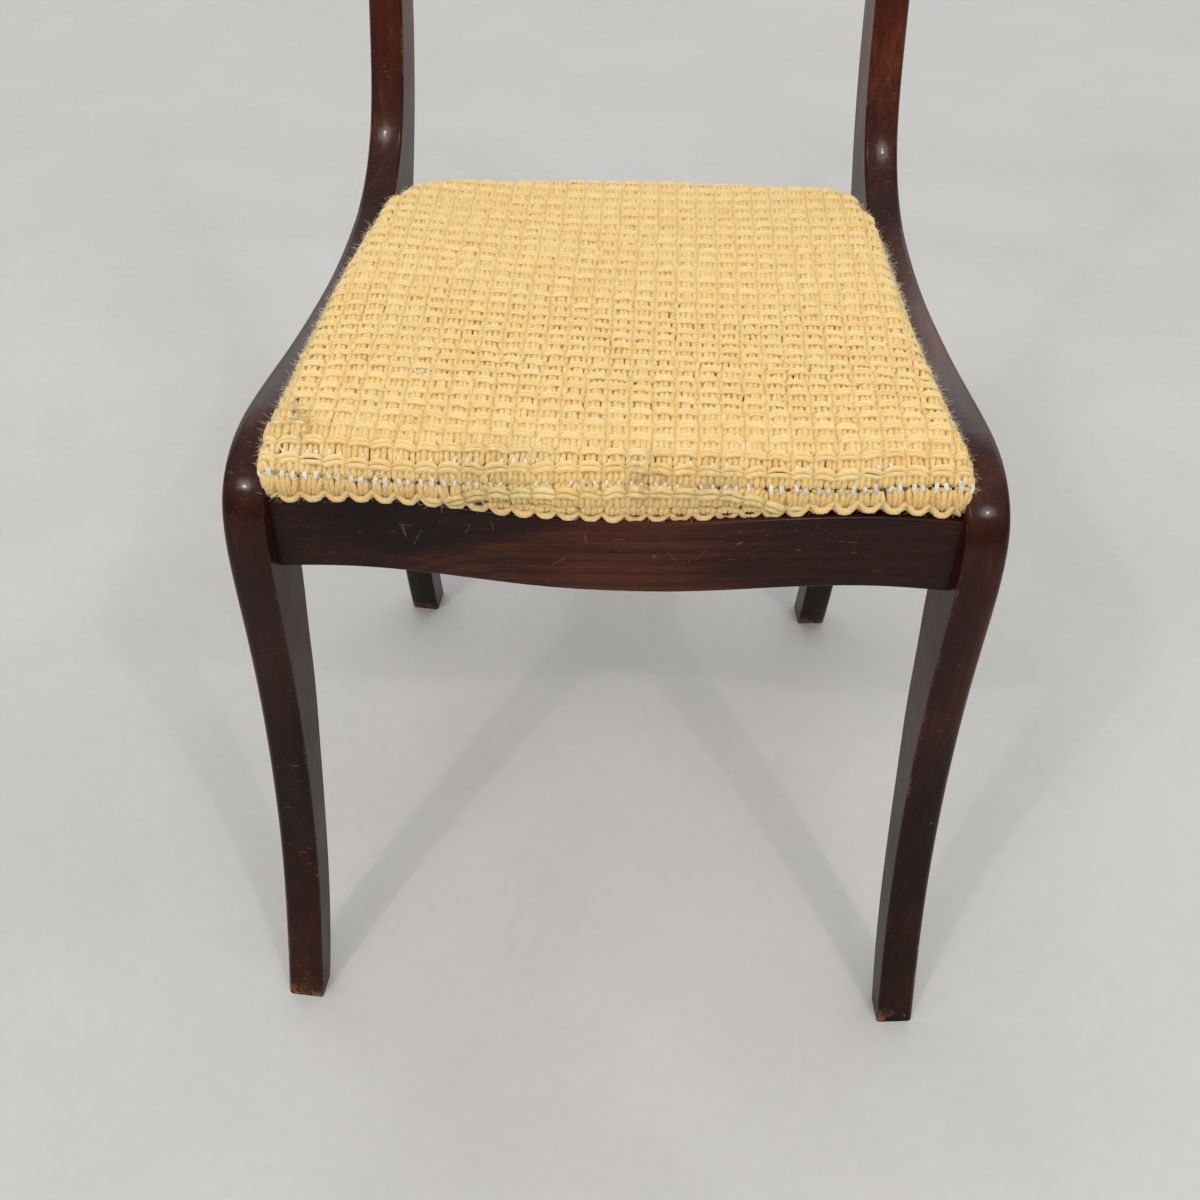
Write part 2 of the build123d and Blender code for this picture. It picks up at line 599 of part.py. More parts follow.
frame_in = lining_in + lining_t + layer_gap
frame_z1 = frame_z0 + frame_t               # top of the front and back members
side_z1 = frame_z1 + web_t                  # the side members stand one webbing higher
hessian_z0 = side_z1 + web_t + tack_head_t + 0.1
pad_z0 = hessian_z0 + 1.1

with BuildPart() as seat_pad:
    with BuildSketch(Plane.XY.offset(pad_z0)) as sk:
        with BuildLine():
            seat_line(frame_in + 0.2)
        make_face()
        seat_corners(sk, 4, 16)
    extrude(amount=40)
    crown(frame_in)

with BuildPart() as hessian_sheet:
    with BuildSketch(Plane.XY.offset(hessian_z0)) as sk:
        with BuildLine():
            seat_line(frame_in + 4)
        make_face()
        seat_corners(sk, 4, 14)
    extrude(amount=1.0)

# the frame's members: front and back run through, the sides stand between them
y_fm = y_toe + 66 + seat_set_back + frame_in + frame_w      # inner edge of the front member
y_bm = y_toe + seat_back_d - frame_in - frame_w             # inner edge of the back member


def side_member_x(d):
    return inner_x(d) - (seat_clear + frame_in) / ca - frame_w


frame_dowel_r, frame_dowel_hole = 3.0, 20.0
frame_dowel_z = frame_z0 + frame_t / 2
front_dowel_x = [side_member_x(y_fm - y_toe) + dx for dx in (11, 33)]
back_dowel_x = [side_member_x(y_bm - y_toe) + dx for dx in (11, 33)]

web_x = [-99.0, -33.0, 33.0, 99.0]           # strips from front to back
web_y = [y_fm + 32 + i * (y_bm - y_fm - 64) / 3 for i in range(4)]   # strips from side to side
web_y0, web_y1 = y_fm - frame_w + 16, y_bm + frame_w - 12
tack_y = [web_y0 + 8, web_y1 - 8]


def web_half(y):
    return side_member_x(y - y_toe) + frame_w - 14


long_tacks = [(x + dx, y) for x in web_x for dx in (-14, 14) for y in tack_y]
short_tacks = [(side * (web_half(y + 30) - 9), y + dy) for y in web_y for dy in (-14, 14) for side in (1, -1)]

with BuildPart() as seat_frame_front:
    with BuildSketch(Plane.XY.offset(frame_z0)) as sk:
        with BuildLine():
            seat_line(frame_in)
        make_face()
        seat_corners(sk, 4, 16)
        with Locations((0, y_fm - 150)):
            Rectangle(600, 300, mode=Mode.INTERSECT)
    extrude(amount=frame_t)
    with BuildSketch(Plane.XZ.offset(-y_fm)):
        with Locations(*[(side * x, frame_dowel_z) for side in (1, -1) for x in front_dowel_x]):
            Circle(frame_dowel_r + dowel_gap)
    extrude(amount=frame_dowel_hole, mode=Mode.SUBTRACT)
    with BuildSketch(Plane.XY.offset(frame_z1)):
        with Locations(*[p for p in long_tacks if p[1] < y_fm]):
            Circle(tack_r + dowel_gap)
    extrude(amount=-tack_len, mode=Mode.SUBTRACT)

with BuildPart() as seat_frame_back:
    with BuildSketch(Plane.XY.offset(frame_z0)) as sk:
        with BuildLine():
            seat_line(frame_in)
        make_face()
        seat_corners(sk, 4, 16)
        with Locations((0, y_bm + 150)):
            Rectangle(600, 300, mode=Mode.INTERSECT)
    extrude(amount=frame_t)
    with BuildSketch(Plane.XZ.offset(-y_bm)):
        with Locations(*[(side * x, frame_dowel_z) for side in (1, -1) for x in back_dowel_x]):
            Circle(frame_dowel_r + dowel_gap)
    extrude(amount=-frame_dowel_hole, mode=Mode.SUBTRACT)
    with BuildSketch(Plane.XY.offset(frame_z1)):
        with Locations(*[p for p in long_tacks if p[1] > y_bm]):
            Circle(tack_r + dowel_gap)
    extrude(amount=-tack_len, mode=Mode.SUBTRACT)

with BuildPart() as seat_frame_right:
    with BuildSketch(Plane.XY.offset(frame_z0)):
        with BuildLine():
            Polyline((side_member_x(y_fm - y_toe), y_fm), (side_member_x(y_fm - y_toe) + frame_w, y_fm),
                     (side_member_x(y_bm - y_toe) + frame_w, y_bm), (side_member_x(y_bm - y_toe), y_bm), close=True)
        make_face()
    extrude(amount=side_z1 - frame_z0)
    with BuildSketch(Plane.XZ.offset(-y_fm)):
        with Locations(*[(x, frame_dowel_z) for x in front_dowel_x]):
            Circle(frame_dowel_r + dowel_gap)
    extrude(amount=-frame_dowel_hole, mode=Mode.SUBTRACT)
    with BuildSketch(Plane.XZ.offset(-y_bm)):
        with Locations(*[(x, frame_dowel_z) for x in back_dowel_x]):
            Circle(frame_dowel_r + dowel_gap)
    extrude(amount=frame_dowel_hole, mode=Mode.SUBTRACT)
    with BuildSketch(Plane.XY.offset(side_z1)):
        with Locations(*[p for p in short_tacks if p[0] > 0]):
            Circle(tack_r + dowel_gap)
    extrude(amount=-tack_len, mode=Mode.SUBTRACT)

with BuildPart() as seat_frame_left:
    mirror(seat_frame_right.part, about=Plane.YZ)

with BuildPart() as seat_frame_dowels:
    with BuildSketch(Plane.XZ.offset(-(y_fm - frame_dowel_hole + 1))):
        with Locations(*[(side * x, frame_dowel_z) for side in (1, -1) for x in front_dowel_x]):
            Circle(frame_dowel_r)
    extrude(amount=-(2 * frame_dowel_hole - 2))
    with BuildSketch(Plane.XZ.offset(-(y_bm - frame_dowel_hole + 1))):
        with Locations(*[(side * x, frame_dowel_z) for side in (1, -1) for x in back_dowel_x]):
            Circle(frame_dowel_r)
    extrude(amount=-(2 * frame_dowel_hole - 2))

with BuildPart() as webbing_front_to_back:
    with BuildSketch(Plane.XY.offset(frame_z1)):
        with Locations(*[(x, (web_y0 + web_y1) / 2) for x in web_x]):
            Rectangle(web_w, web_y1 - web_y0)
        with Locations(*long_tacks):
            Circle(tack_r + dowel_gap, mode=Mode.SUBTRACT)
    extrude(amount=web_t)

with BuildPart() as webbing_side_to_side:
    with BuildSketch(Plane.XY.offset(side_z1)):
        for y in web_y:
            with Locations((0, y)):
                Rectangle(2 * web_half(y + 30), web_w)
        with Locations(*short_tacks):
            Circle(tack_r + dowel_gap, mode=Mode.SUBTRACT)
    extrude(amount=web_t)

with BuildPart() as webbing_tacks:
    for points, z in ((long_tacks, frame_z1), (short_tacks, side_z1)):
        with BuildSketch(Plane.XY.offset(z + web_t)):
            with Locations(*points):
                Circle(tack_r)
        extrude(amount=-(web_t + tack_len - 1))
        with BuildSketch(Plane.XY.offset(z + web_t)):
            with Locations(*points):
                Circle(tack_head_r)
        extrude(amount=tack_head_t)

# ---------------------------------------------------------------------------
# labels and files
# ---------------------------------------------------------------------------
pieces = {
    "front_leg_right": front_leg_right, "front_leg_left": front_leg_left,
    "side_rail_right": side_rail_right, "side_rail_left": side_rail_left,
    "rear_stile_right": rear_stile_right, "rear_stile_left": rear_stile_left,
    "front_rail": front_rail, "rear_rail": rear_rail, "cross_rail": cross_rail, "crest_rail": crest_rail,
    "corner_block_front_right": corner_block_front_right, "corner_block_front_left": corner_block_front_left,
    "corner_block_rear_right": corner_block_rear_right, "corner_block_rear_left": corner_block_rear_left,
    "corner_block_screws": corner_block_screws,
    "front_rail_dowels": front_rail_dowels, "rear_rail_dowels": rear_rail_dowels,
    "leg_to_side_rail_dowels": leg_to_side_rail_dowels, "side_rail_to_stile_dowels": side_rail_to_stile_dowels,
    "crest_rail_dowels": crest_rail_dowels, "cross_rail_dowels": cross_rail_dowels,
    "seat_frame_front": seat_frame_front, "seat_frame_back": seat_frame_back,
    "seat_frame_right": seat_frame_right, "seat_frame_left": seat_frame_left,
    "seat_frame_dowels": seat_frame_dowels,
    "webbing_front_to_back": webbing_front_to_back, "webbing_side_to_side": webbing_side_to_side,
    "webbing_tacks": webbing_tacks, "hessian_sheet": hessian_sheet, "seat_pad": seat_pad,
    "lining_cloth": lining_cloth, "seat_cover": seat_cover,
}
for name, piece in pieces.items():
    piece.part.label = name
    export_step(piece.part, f"parts/{name}.step")
    print(name, len(piece.part.solids()), round(piece.part.volume))
box = Compound(children=[p.part for p in pieces.values()]).bounding_box()
print("box", box.min, box.max)
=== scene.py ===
import math

import bpy
import numpy as np
from mathutils import Matrix, Vector


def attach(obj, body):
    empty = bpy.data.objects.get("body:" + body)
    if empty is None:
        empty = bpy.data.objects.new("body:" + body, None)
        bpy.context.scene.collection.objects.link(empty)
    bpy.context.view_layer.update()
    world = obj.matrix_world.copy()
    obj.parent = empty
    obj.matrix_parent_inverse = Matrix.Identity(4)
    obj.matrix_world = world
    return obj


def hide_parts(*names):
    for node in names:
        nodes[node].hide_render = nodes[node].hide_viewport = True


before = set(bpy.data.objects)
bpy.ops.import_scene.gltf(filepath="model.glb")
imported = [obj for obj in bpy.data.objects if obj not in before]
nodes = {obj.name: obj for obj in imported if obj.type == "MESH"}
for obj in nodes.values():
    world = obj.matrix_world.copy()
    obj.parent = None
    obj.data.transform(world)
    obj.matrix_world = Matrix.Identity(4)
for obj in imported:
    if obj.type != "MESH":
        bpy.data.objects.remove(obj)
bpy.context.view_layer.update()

scene = bpy.context.scene
scene.view_settings.view_transform = "Standard"
scene.view_settings.look = "None"
scene.view_settings.exposure = 0.0

MM = 0.001
Y_TOE = -287.0
SPLAY = math.radians(4.889)
SA, CA = math.sin(SPLAY), math.cos(SPLAY)


# ---------------------------------------------------------------------------
# camera: a standing viewer's eye, looking down at the seat
# ---------------------------------------------------------------------------
def make_camera():
    yaw, pitch, roll = -0.0281187, 0.7345818, 0.0198814
    place = (0.01164, -0.89312, 0.96402)
    fwd = np.array([math.sin(yaw) * math.cos(pitch), math.cos(yaw) * math.cos(pitch), -math.sin(pitch)])
    right = np.array([math.cos(yaw), -math.sin(yaw), 0.0])
    up = np.cross(right, fwd)
    r2 = math.cos(roll) * right + math.sin(roll) * up
    u2 = -math.sin(roll) * right + math.cos(roll) * up
    data = bpy.data.cameras.new("camera")
    data.lens, data.sensor_width = 43.2745, 36.0
    data.clip_start, data.clip_end = 0.02, 60.0
    cam = bpy.data.objects.new("camera", data)
    scene.collection.objects.link(cam)
    cam.matrix_world = Matrix([[r2[i], u2[i], -fwd[i], place[i]] for i in range(3)] + [[0, 0, 0, 1]])
    scene.camera = cam


make_camera()


# ---------------------------------------------------------------------------
# material helpers
# ---------------------------------------------------------------------------
class Mat:
    """A node material built step by step."""

    def __init__(self, name):
        self.m = bpy.data.materials.new(name)
        self.m.use_nodes = True
        self.nt = self.m.node_tree
        self.nt.nodes.clear()
        self.out = self.nt.nodes.new("ShaderNodeOutputMaterial")
        self.bsdf = self.nt.nodes.new("ShaderNodeBsdfPrincipled")
        self.nt.links.new(self.bsdf.outputs[0], self.out.inputs[0])
        self.coord = self.nt.nodes.new("ShaderNodeTexCoord").outputs["Object"]

    def node(self, kind, inputs=None, **props):
        n = self.nt.nodes.new(kind)
        for k, v in props.items():
            setattr(n, k, v)
        for k, v in (inputs or {}).items():
            self.put(n.inputs[k], v)
        return n

    def put(self, socket, v):
        if isinstance(v, bpy.types.NodeSocket):
            self.nt.links.new(v, socket)
        else:
            socket.default_value = v

    def set(self, **values):
        for k, v in values.items():
            self.put(self.bsdf.inputs[k.replace("_", " ")], v)

    def math(self, op, a, b=0.0, c=None, clamp=False):
        ins = {0: a, 1: b}
        if c is not None:
            ins[2] = c
        return self.node("ShaderNodeMath", ins, operation=op, use_clamp=clamp).outputs[0]

    def mapping(self, scale=(1, 1, 1), loc=(0, 0, 0), rot=(0, 0, 0), vec=None):
        return self.node("ShaderNodeMapping", {"Vector": vec or self.coord, "Scale": scale, "Location": loc,
                                                "Rotation": rot}).outputs[0]

    def noise(self, vec, scale=1.0, detail=3.0, rough=0.5, distortion=0.0):
        return self.node("ShaderNodeTexNoise", {"Vector": vec, "Scale": scale, "Detail": detail, "Roughness": rough,
                                                 "Distortion": distortion}).outputs["Fac"]

    def span(self, v, lo, hi, to_lo=0.0, to_hi=1.0, smooth=True):
        return self.node("ShaderNodeMapRange", {"Value": v, "From Min": lo, "From Max": hi, "To Min": to_lo, "To Max": to_hi},
                         interpolation_type="SMOOTHSTEP" if smooth else "LINEAR").outputs[0]

    def ramp(self, v, stops):
        n = self.node("ShaderNodeValToRGB", {"Fac": v})
        el = n.color_ramp.elements
        while len(el) < len(stops):
            el.new(0.5)
        for e, (p, c) in zip(el, stops):
            e.position, e.color = p, (*c, 1.0)
        return n.outputs[0]

    def mix(self, fac, a, b, blend="MIX"):
        n = self.node("ShaderNodeMix", data_type="RGBA", blend_type=blend)
        self.put(n.inputs[0], fac)
        for i, v in ((6, a), (7, b)):
            self.put(n.inputs[i], (*v, 1.0) if isinstance(v, tuple) else v)
        return n.outputs[2]

    def bump(self, height, distance, strength=1.0, normal=None):
        ins = {"Height": height, "Distance": distance, "Strength": strength}
        if normal is not None:
            ins["Normal"] = normal
        return self.node("ShaderNodeBump", ins).outputs[0]


def wood(name, axis, wear_dir, seed, dark=(0.0080, 0.0022, 0.0014), mid=(0.034, 0.0076, 0.0040), light=(0.105, 0.028, 0.0130),
         figure=1.0, polish=True, foot=True, wear=1.0, flame=False, pillow=None, marks=()):
    """Polished hardwood with its grain along one axis, rubbed pale at the arrises.
    wear_dir is the direction of the flat faces that the worn arrises border.
    Slow changes of tone are shared by all pieces, so that the colour runs on across the joints."""
    w = Mat(name)
    off = (seed * 0.37, seed * 0.61, seed * 0.23)

    def stretch(along, across):
        s = [across] * 3
        s[axis] = along
        return w.mapping(tuple(s), off)

    plain = w.mapping((1, 1, 1), off)
    cloud = w.noise(w.mapping((1, 1, 1), (0.7, 0.2, 0.4)), 8.0, 3.0, 0.5)
    broad = w.noise(stretch(2.6, 24), 1.0, 4.0, 0.58, 1.3)
    fine = w.noise(stretch(9, 210), 1.0, 5.0, 0.66, 0.25)
    pores = w.noise(stretch(45, 1000), 1.0, 2.0, 0.5)
    tone = w.math("MULTIPLY_ADD", cloud, 0.44, w.math("MULTIPLY", broad, 0.32 * figure))
    tone = w.math("MULTIPLY_ADD", fine, 0.26, tone)
    if flame:
        # a lighter tongue of figure in the middle of the front rail, sweeping up from the left
        sep = w.node("ShaderNodeSeparateXYZ", {0: w.coord}).outputs
        slant = w.math("MULTIPLY_ADD", sep[2], -2.15, w.math("ADD", sep[0], 0.128 + 0.387 * 2.15))
        slant = w.math("MULTIPLY_ADD", broad, 0.05, slant)
        tongue = w.math("MULTIPLY", w.span(slant, 0.015, 0.055), w.span(sep[0], 0.03, 0.19, 1.0, 0.0))
        # lines of the figure, bending with the tongue
        climb = w.math("EXPONENT", w.math("MULTIPLY", w.math("MAXIMUM", w.math("ADD", sep[0], 0.128), 0.0), -1 / 0.042))
        bent = w.math("MULTIPLY_ADD", climb, 0.030, sep[2])
        bent = w.math("MULTIPLY_ADD", broad, 0.011, bent)
        coarse = w.math("SINE", w.math("MULTIPLY", bent, 2 * math.pi / 0.0090))
        lines = w.math("MULTIPLY_ADD", w.math("SINE", w.math("MULTIPLY", bent, 2 * math.pi / 0.0034)), 0.55, w.math("MULTIPLY", coarse, 0.75))
        tone = w.math("ADD", w.math("MULTIPLY_ADD", tongue, 0.175, tone), w.math("MULTIPLY", w.math("MULTIPLY", lines, 0.050), tongue))
        tone = w.math("SUBTRACT", tone, 0.060)
    colour = w.ramp(tone, [(0.36, dark), (0.53, mid), (0.74, light)])
    # painted light by height on the polished pieces: the colour darkens towards the floor, to about half at the foot,
    # and above the seat it is lifted to about twice, a painted reflection of the pale surroundings on the stiles
    level = w.node("ShaderNodeSeparateXYZ", {0: w.coord}).outputs[2]
    light_by_height = w.node("ShaderNodeMix", data_type="RGBA", blend_type="MULTIPLY")
    light_by_height.inputs[0].default_value = 1.0
    w.put(light_by_height.inputs[6], colour)
    painted_light_tint = w.math("MULTIPLY", w.span(level, 0.04, 0.45, 0.52, 0.94), w.span(level, 0.46, 0.57, 1.0, 2.1))
    w.put(light_by_height.inputs[7], w.node("ShaderNodeCombineXYZ", {0: painted_light_tint, 1: painted_light_tint, 2: painted_light_tint}).outputs[0])
    colour = light_by_height.outputs[2] if polish else colour
    pore_mask = w.span(pores, 0.60, 0.72)
    colour = w.mix(w.math("MULTIPLY", pore_mask, 0.5), colour, tuple(0.5 * c for c in dark))

    # worn arrises: where the surface turns from a flat face to a curved one
    geo = w.node("ShaderNodeNewGeometry")
    facing = w.math("ABSOLUTE", w.node("ShaderNodeVectorMath", {0: geo.outputs["Normal"], 1: wear_dir}, operation="DOT_PRODUCT").outputs["Value"])
    arris = w.math("MULTIPLY", w.span(facing, 0.30, 0.60), w.span(facing, 0.80, 0.95, 1.0, 0.0))
    patch = w.noise(plain, 34.0, 5.0, 0.62)
    grit = w.noise(plain, 420.0, 3.0, 0.6)
    rubbed = w.math("MULTIPLY", arris, w.span(w.math("MULTIPLY_ADD", grit, 0.40, patch), 0.78, 0.90))
    # short scratches and small chips in the polish
    scr1 = w.noise(w.mapping((900, 60, 900), off, (0.4, 0.3, 0.5)), 1.0, 1.0, 0.4)
    scr2 = w.noise(w.mapping((70, 900, 800), off, (0.2, 0.9, 0.1)), 1.0, 1.0, 0.4)
    where = w.span(w.noise(plain, 19.0, 2.0, 0.5), 0.45, 0.58)
    scratch = w.math("MULTIPLY", w.math("MAXIMUM", w.span(scr1, 0.725, 0.770), w.span(scr2, 0.725, 0.770)), where)
    ragged = w.node("ShaderNodeVectorMath", {0: plain, 1: w.node("ShaderNodeVectorMath", {
        0: w.node("ShaderNodeTexNoise", {"Vector": plain, "Scale": 240.0, "Detail": 2.0}).outputs["Color"], 1: (0.010, 0.010, 0.010)},
        operation="MULTIPLY").outputs[0]}, operation="ADD").outputs[0]
    cells = w.node("ShaderNodeTexVoronoi", {"Vector": ragged, "Scale": 58.0, "Randomness": 1.0}).outputs["Distance"]
    chip = w.math("MULTIPLY", w.span(cells, 0.035, 0.085, 1.0, 0.0), w.span(w.noise(plain, 41.0, 2.0, 0.5), 0.56, 0.62))
    bare = w.math("MAXIMUM", w.math("MULTIPLY", rubbed, 0.60 * wear), w.math("MAXIMUM", w.math("MULTIPLY", scratch, 0.5), w.math("MULTIPLY", chip, 0.6)))
    if marks:
        # single scratches on the front face: both ends in (x, z), width, strength
        face = w.node("ShaderNodeVectorMath", {0: w.coord, 1: (1.0, 0.0, 1.0)}, operation="MULTIPLY").outputs[0]
        front = w.span(w.node("ShaderNodeSeparateXYZ", {0: geo.outputs["Normal"]}).outputs[1], -0.6, -0.3, 1.0, 0.0)
        ticks = w.span(grit, 0.36, 0.56, 0.35, 1.0)
        for x0, z0, x1, z1, width, amount in marks:
            a, b = Vector((x0, 0.0, z0)), Vector((x1, 0.0, z1))
            along = (b - a).normalized()
            rel = w.node("ShaderNodeVectorMath", {0: face, 1: tuple(a)}, operation="SUBTRACT").outputs[0]
            reach_to = w.node("ShaderNodeVectorMath", {0: rel, 1: tuple(along)}, operation="DOT_PRODUCT").outputs["Value"]
            reach_to = w.math("MINIMUM", w.math("MAXIMUM", reach_to, 0.0), (b - a).length)
            foot_at = w.node("ShaderNodeVectorMath", {0: tuple(along)}, operation="SCALE")
            w.put(foot_at.inputs["Scale"], reach_to)
            gap_to = w.node("ShaderNodeVectorMath", {0: rel, 1: foot_at.outputs[0]}, operation="DISTANCE").outputs["Value"]
            line = w.math("MULTIPLY", w.math("MULTIPLY", w.span(gap_to, 0.3 * width, width, amount, 0.0), ticks), front)
            bare = w.math("MAXIMUM", bare, line)
    if foot:
        height = w.node("ShaderNodeSeparateXYZ", {0: w.coord}).outputs[2]
        low = w.math("MULTIPLY", w.span(height, 0.001, 0.014, 1.0, 0.0), w.span(w.math("MULTIPLY_ADD", grit, 0.5, patch), 0.70, 0.86))
        bare = w.math("MAXIMUM", bare, w.math("MULTIPLY", low, 0.7))
    tan = w.mix(fine, (0.17, 0.070, 0.030), (0.38, 0.20, 0.095))
    colour = w.mix(bare, colour, tan)

    smudge = w.noise(plain, 14.0, 4.0, 0.6)
    rough = w.span(smudge, 0.3, 0.7, 0.27, 0.42, smooth=False) if polish else w.span(smudge, 0.3, 0.7, 0.55, 0.75, smooth=False)
    rough = w.math("MULTIPLY_ADD", bare, 0.22, rough, clamp=True)
    dents = w.noise(plain, 70.0, 3.0, 0.5)
    relief = w.math("SUBTRACT", w.math("MULTIPLY_ADD", fine, 0.10, w.math("MULTIPLY", dents, 0.50)),
                    w.math("MULTIPLY_ADD", pore_mask, 0.08, w.math("MULTIPLY", w.math("MAXIMUM", scratch, chip), 0.25)))
    soft = None
    if pillow is not None:
        # the faces shade as if worked slightly round across their width, by a bump only: (direction, middle, curvature)
        across = w.node("ShaderNodeVectorMath", {0: w.coord, 1: pillow[0]}, operation="DOT_PRODUCT").outputs["Value"]
        across = w.math("SUBTRACT", across, pillow[1])
        soft = w.bump(w.math("MULTIPLY", w.math("MULTIPLY", across, across), -0.5 * pillow[2]), 1.0, 1.0)
    w.set(Base_Color=colour, Roughness=rough, Normal=w.bump(relief, 0.0006, 0.6 if polish else 0.8, soft))
    if polish:
        w.bsdf.inputs["Specular IOR Level"].default_value = 0.04
        w.bsdf.inputs["Coat Weight"].default_value = 0.29
        w.bsdf.inputs["Coat Roughness"].default_value = 0.13
        w.nt.links.new(w.bump(relief, 0.0006, 0.6, soft), w.bsdf.inputs["Coat Normal"])
    return w.m


def dress(obj, material):
    obj.data.materials.clear()
    obj.data.materials.append(material)


RIGHT, LEFT, UP = (CA, SA, 0.0), (-CA, SA, 0.0), (0.0, 0.0, 1.0)
MARKS = [(-0.1300, 0.4106, -0.1234, 0.4102, 0.00040, 0.56), (-0.1280, 0.4095, -0.1266, 0.4015, 0.00059, 0.64), (-0.1165, 0.4080, -0.1220, 0.3956, 0.00033, 0.48),
         (-0.0730, 0.4210, -0.0718, 0.4150, 0.00033, 0.48), (-0.0890, 0.4110, -0.0860, 0.4140, 0.00046, 0.40), (-0.0167, 0.4170, -0.0159, 0.4115, 0.00053, 0.56),
         (-0.0361, 0.3929, -0.0285, 0.3985, 0.00033, 0.56), (0.0333, 0.4050, 0.0379, 0.3995, 0.00033, 0.56), (0.0585, 0.4100, 0.0500, 0.3990, 0.00026, 0.40),
         (0.0420, 0.3980, 0.0432, 0.3976, 0.00059, 0.56), (0.0462, 0.3982, 0.0474, 0.3979, 0.00059, 0.56), (0.0740, 0.4105, 0.0772, 0.4120, 0.00086, 0.48),
         (-0.0400, 0.3790, -0.0382, 0.3776, 0.00053, 0.48)]
for node, axis, face, seed in [
        ("front_leg_right", 2, RIGHT, 1.0), ("front_leg_left", 2, LEFT, 2.3), ("side_rail_right", 1, RIGHT, 1.0), ("side_rail_left", 1, LEFT, 2.3),
        ("rear_stile_right", 2, RIGHT, 1.0), ("rear_stile_left", 2, LEFT, 2.3), ("front_rail", 0, UP, 5.1), ("rear_rail", 0, UP, 6.2)]:
    dress(nodes[node], wood("wood_" + node, axis, face, seed, foot="leg" in node or "stile" in node,
                            wear=0.25 if node == "front_rail" else 0.8, flame=node == "front_rail", marks=MARKS if node == "front_rail" else (),
                            pillow=(face, 0.2013, 17.0) if abs(face[0]) > 0.5 else None))


# ---------------------------------------------------------------------------
# mesh helpers
# ---------------------------------------------------------------------------
def natural_cubic(xs, ys):
    """Natural cubic spline through points, as a function; flat-sloped beyond the ends."""
    order = np.argsort(xs)
    x, y = np.asarray(xs, float)[order], np.asarray(ys, float)[order]
    n, h = len(x), np.diff(x)
    a, rhs = np.eye(n), np.zeros(n)
    for i in range(1, n - 1):
        a[i, i - 1], a[i, i], a[i, i + 1] = h[i - 1], 2 * (h[i - 1] + h[i]), h[i]
        rhs[i] = 6 * ((y[i + 1] - y[i]) / h[i] - (y[i] - y[i - 1]) / h[i - 1])
    m = np.linalg.solve(a, rhs)

    def at(t):
        t = np.clip(np.asarray(t, float), x[0], x[-1])
        i = np.clip(np.searchsorted(x, t) - 1, 0, n - 2)
        p, q = x[i + 1] - t, t - x[i]
        return (m[i] * p ** 3 + m[i + 1] * q ** 3) / (6 * h[i]) + (y[i] / h[i] - m[i] * h[i] / 6) * p + (y[i + 1] / h[i] - m[i + 1] * h[i] / 6) * q
    return at


def curve_by_length(points, n):
    """Dense points on a smooth curve through given points."""
    p = np.asarray(points, float)
    t = np.r_[0, np.cumsum(np.linalg.norm(np.diff(p, axis=0), axis=1))]
    s = np.linspace(0, t[-1], n)
    return np.stack([natural_cubic(t, p[:, i])(s) for i in range(2)], 1)


def smoothstep(lo, hi, v):
    t = np.clip((v - lo) / (hi - lo), 0, 1)
    return t * t * (3 - 2 * t)


def mesh_object(name, verts_mm, quads, material, uv=None, tone=None, smooth=True, extra=()):
    """A mesh from arrays: vertices in millimetres, quads, per-corner uv, per-vertex tone; extra holds larger faces."""
    me = bpy.data.meshes.new(name)
    v = np.ascontiguousarray(np.asarray(verts_mm, np.float64) * MM, np.float32)
    q = np.ascontiguousarray(quads, np.int32)
    loops = np.concatenate([q.ravel()] + [np.asarray(f, np.int32) for f in extra]) if len(extra) else q.ravel()
    sizes = np.concatenate([np.full(len(q), 4), [len(f) for f in extra]]).astype(np.int32) if len(extra) else np.full(len(q), 4, np.int32)
    starts = np.concatenate([[0], np.cumsum(sizes)[:-1]]).astype(np.int32)
    me.vertices.add(len(v))
    me.vertices.foreach_set("co", v.ravel())
    me.loops.add(len(loops))
    me.loops.foreach_set("vertex_index", loops)
    me.polygons.add(len(sizes))
    me.polygons.foreach_set("loop_start", starts)
    if uv is not None:
        layer = me.uv_layers.new(name="strand")
        flat = np.zeros((len(loops), 2), np.float32)
        flat[:len(q) * 4] = np.asarray(uv, np.float32).reshape(-1, 2)
        layer.data.foreach_set("uv", flat.ravel())
    me.update(calc_edges=True)
    me.validate()
    if tone is not None:
        me.attributes.new("tone", "FLOAT", "POINT").data.foreach_set("value", np.asarray(tone, np.float32))
    if smooth:
        me.polygons.foreach_set("use_smooth", np.ones(len(me.polygons), bool))
    ob = bpy.data.objects.new(name, me)
    scene.collection.objects.link(ob)
    me.materials.append(material)
    return ob


def unit(v):
    return v / np.maximum(np.linalg.norm(v, axis=-1, keepdims=True), 1e-12)


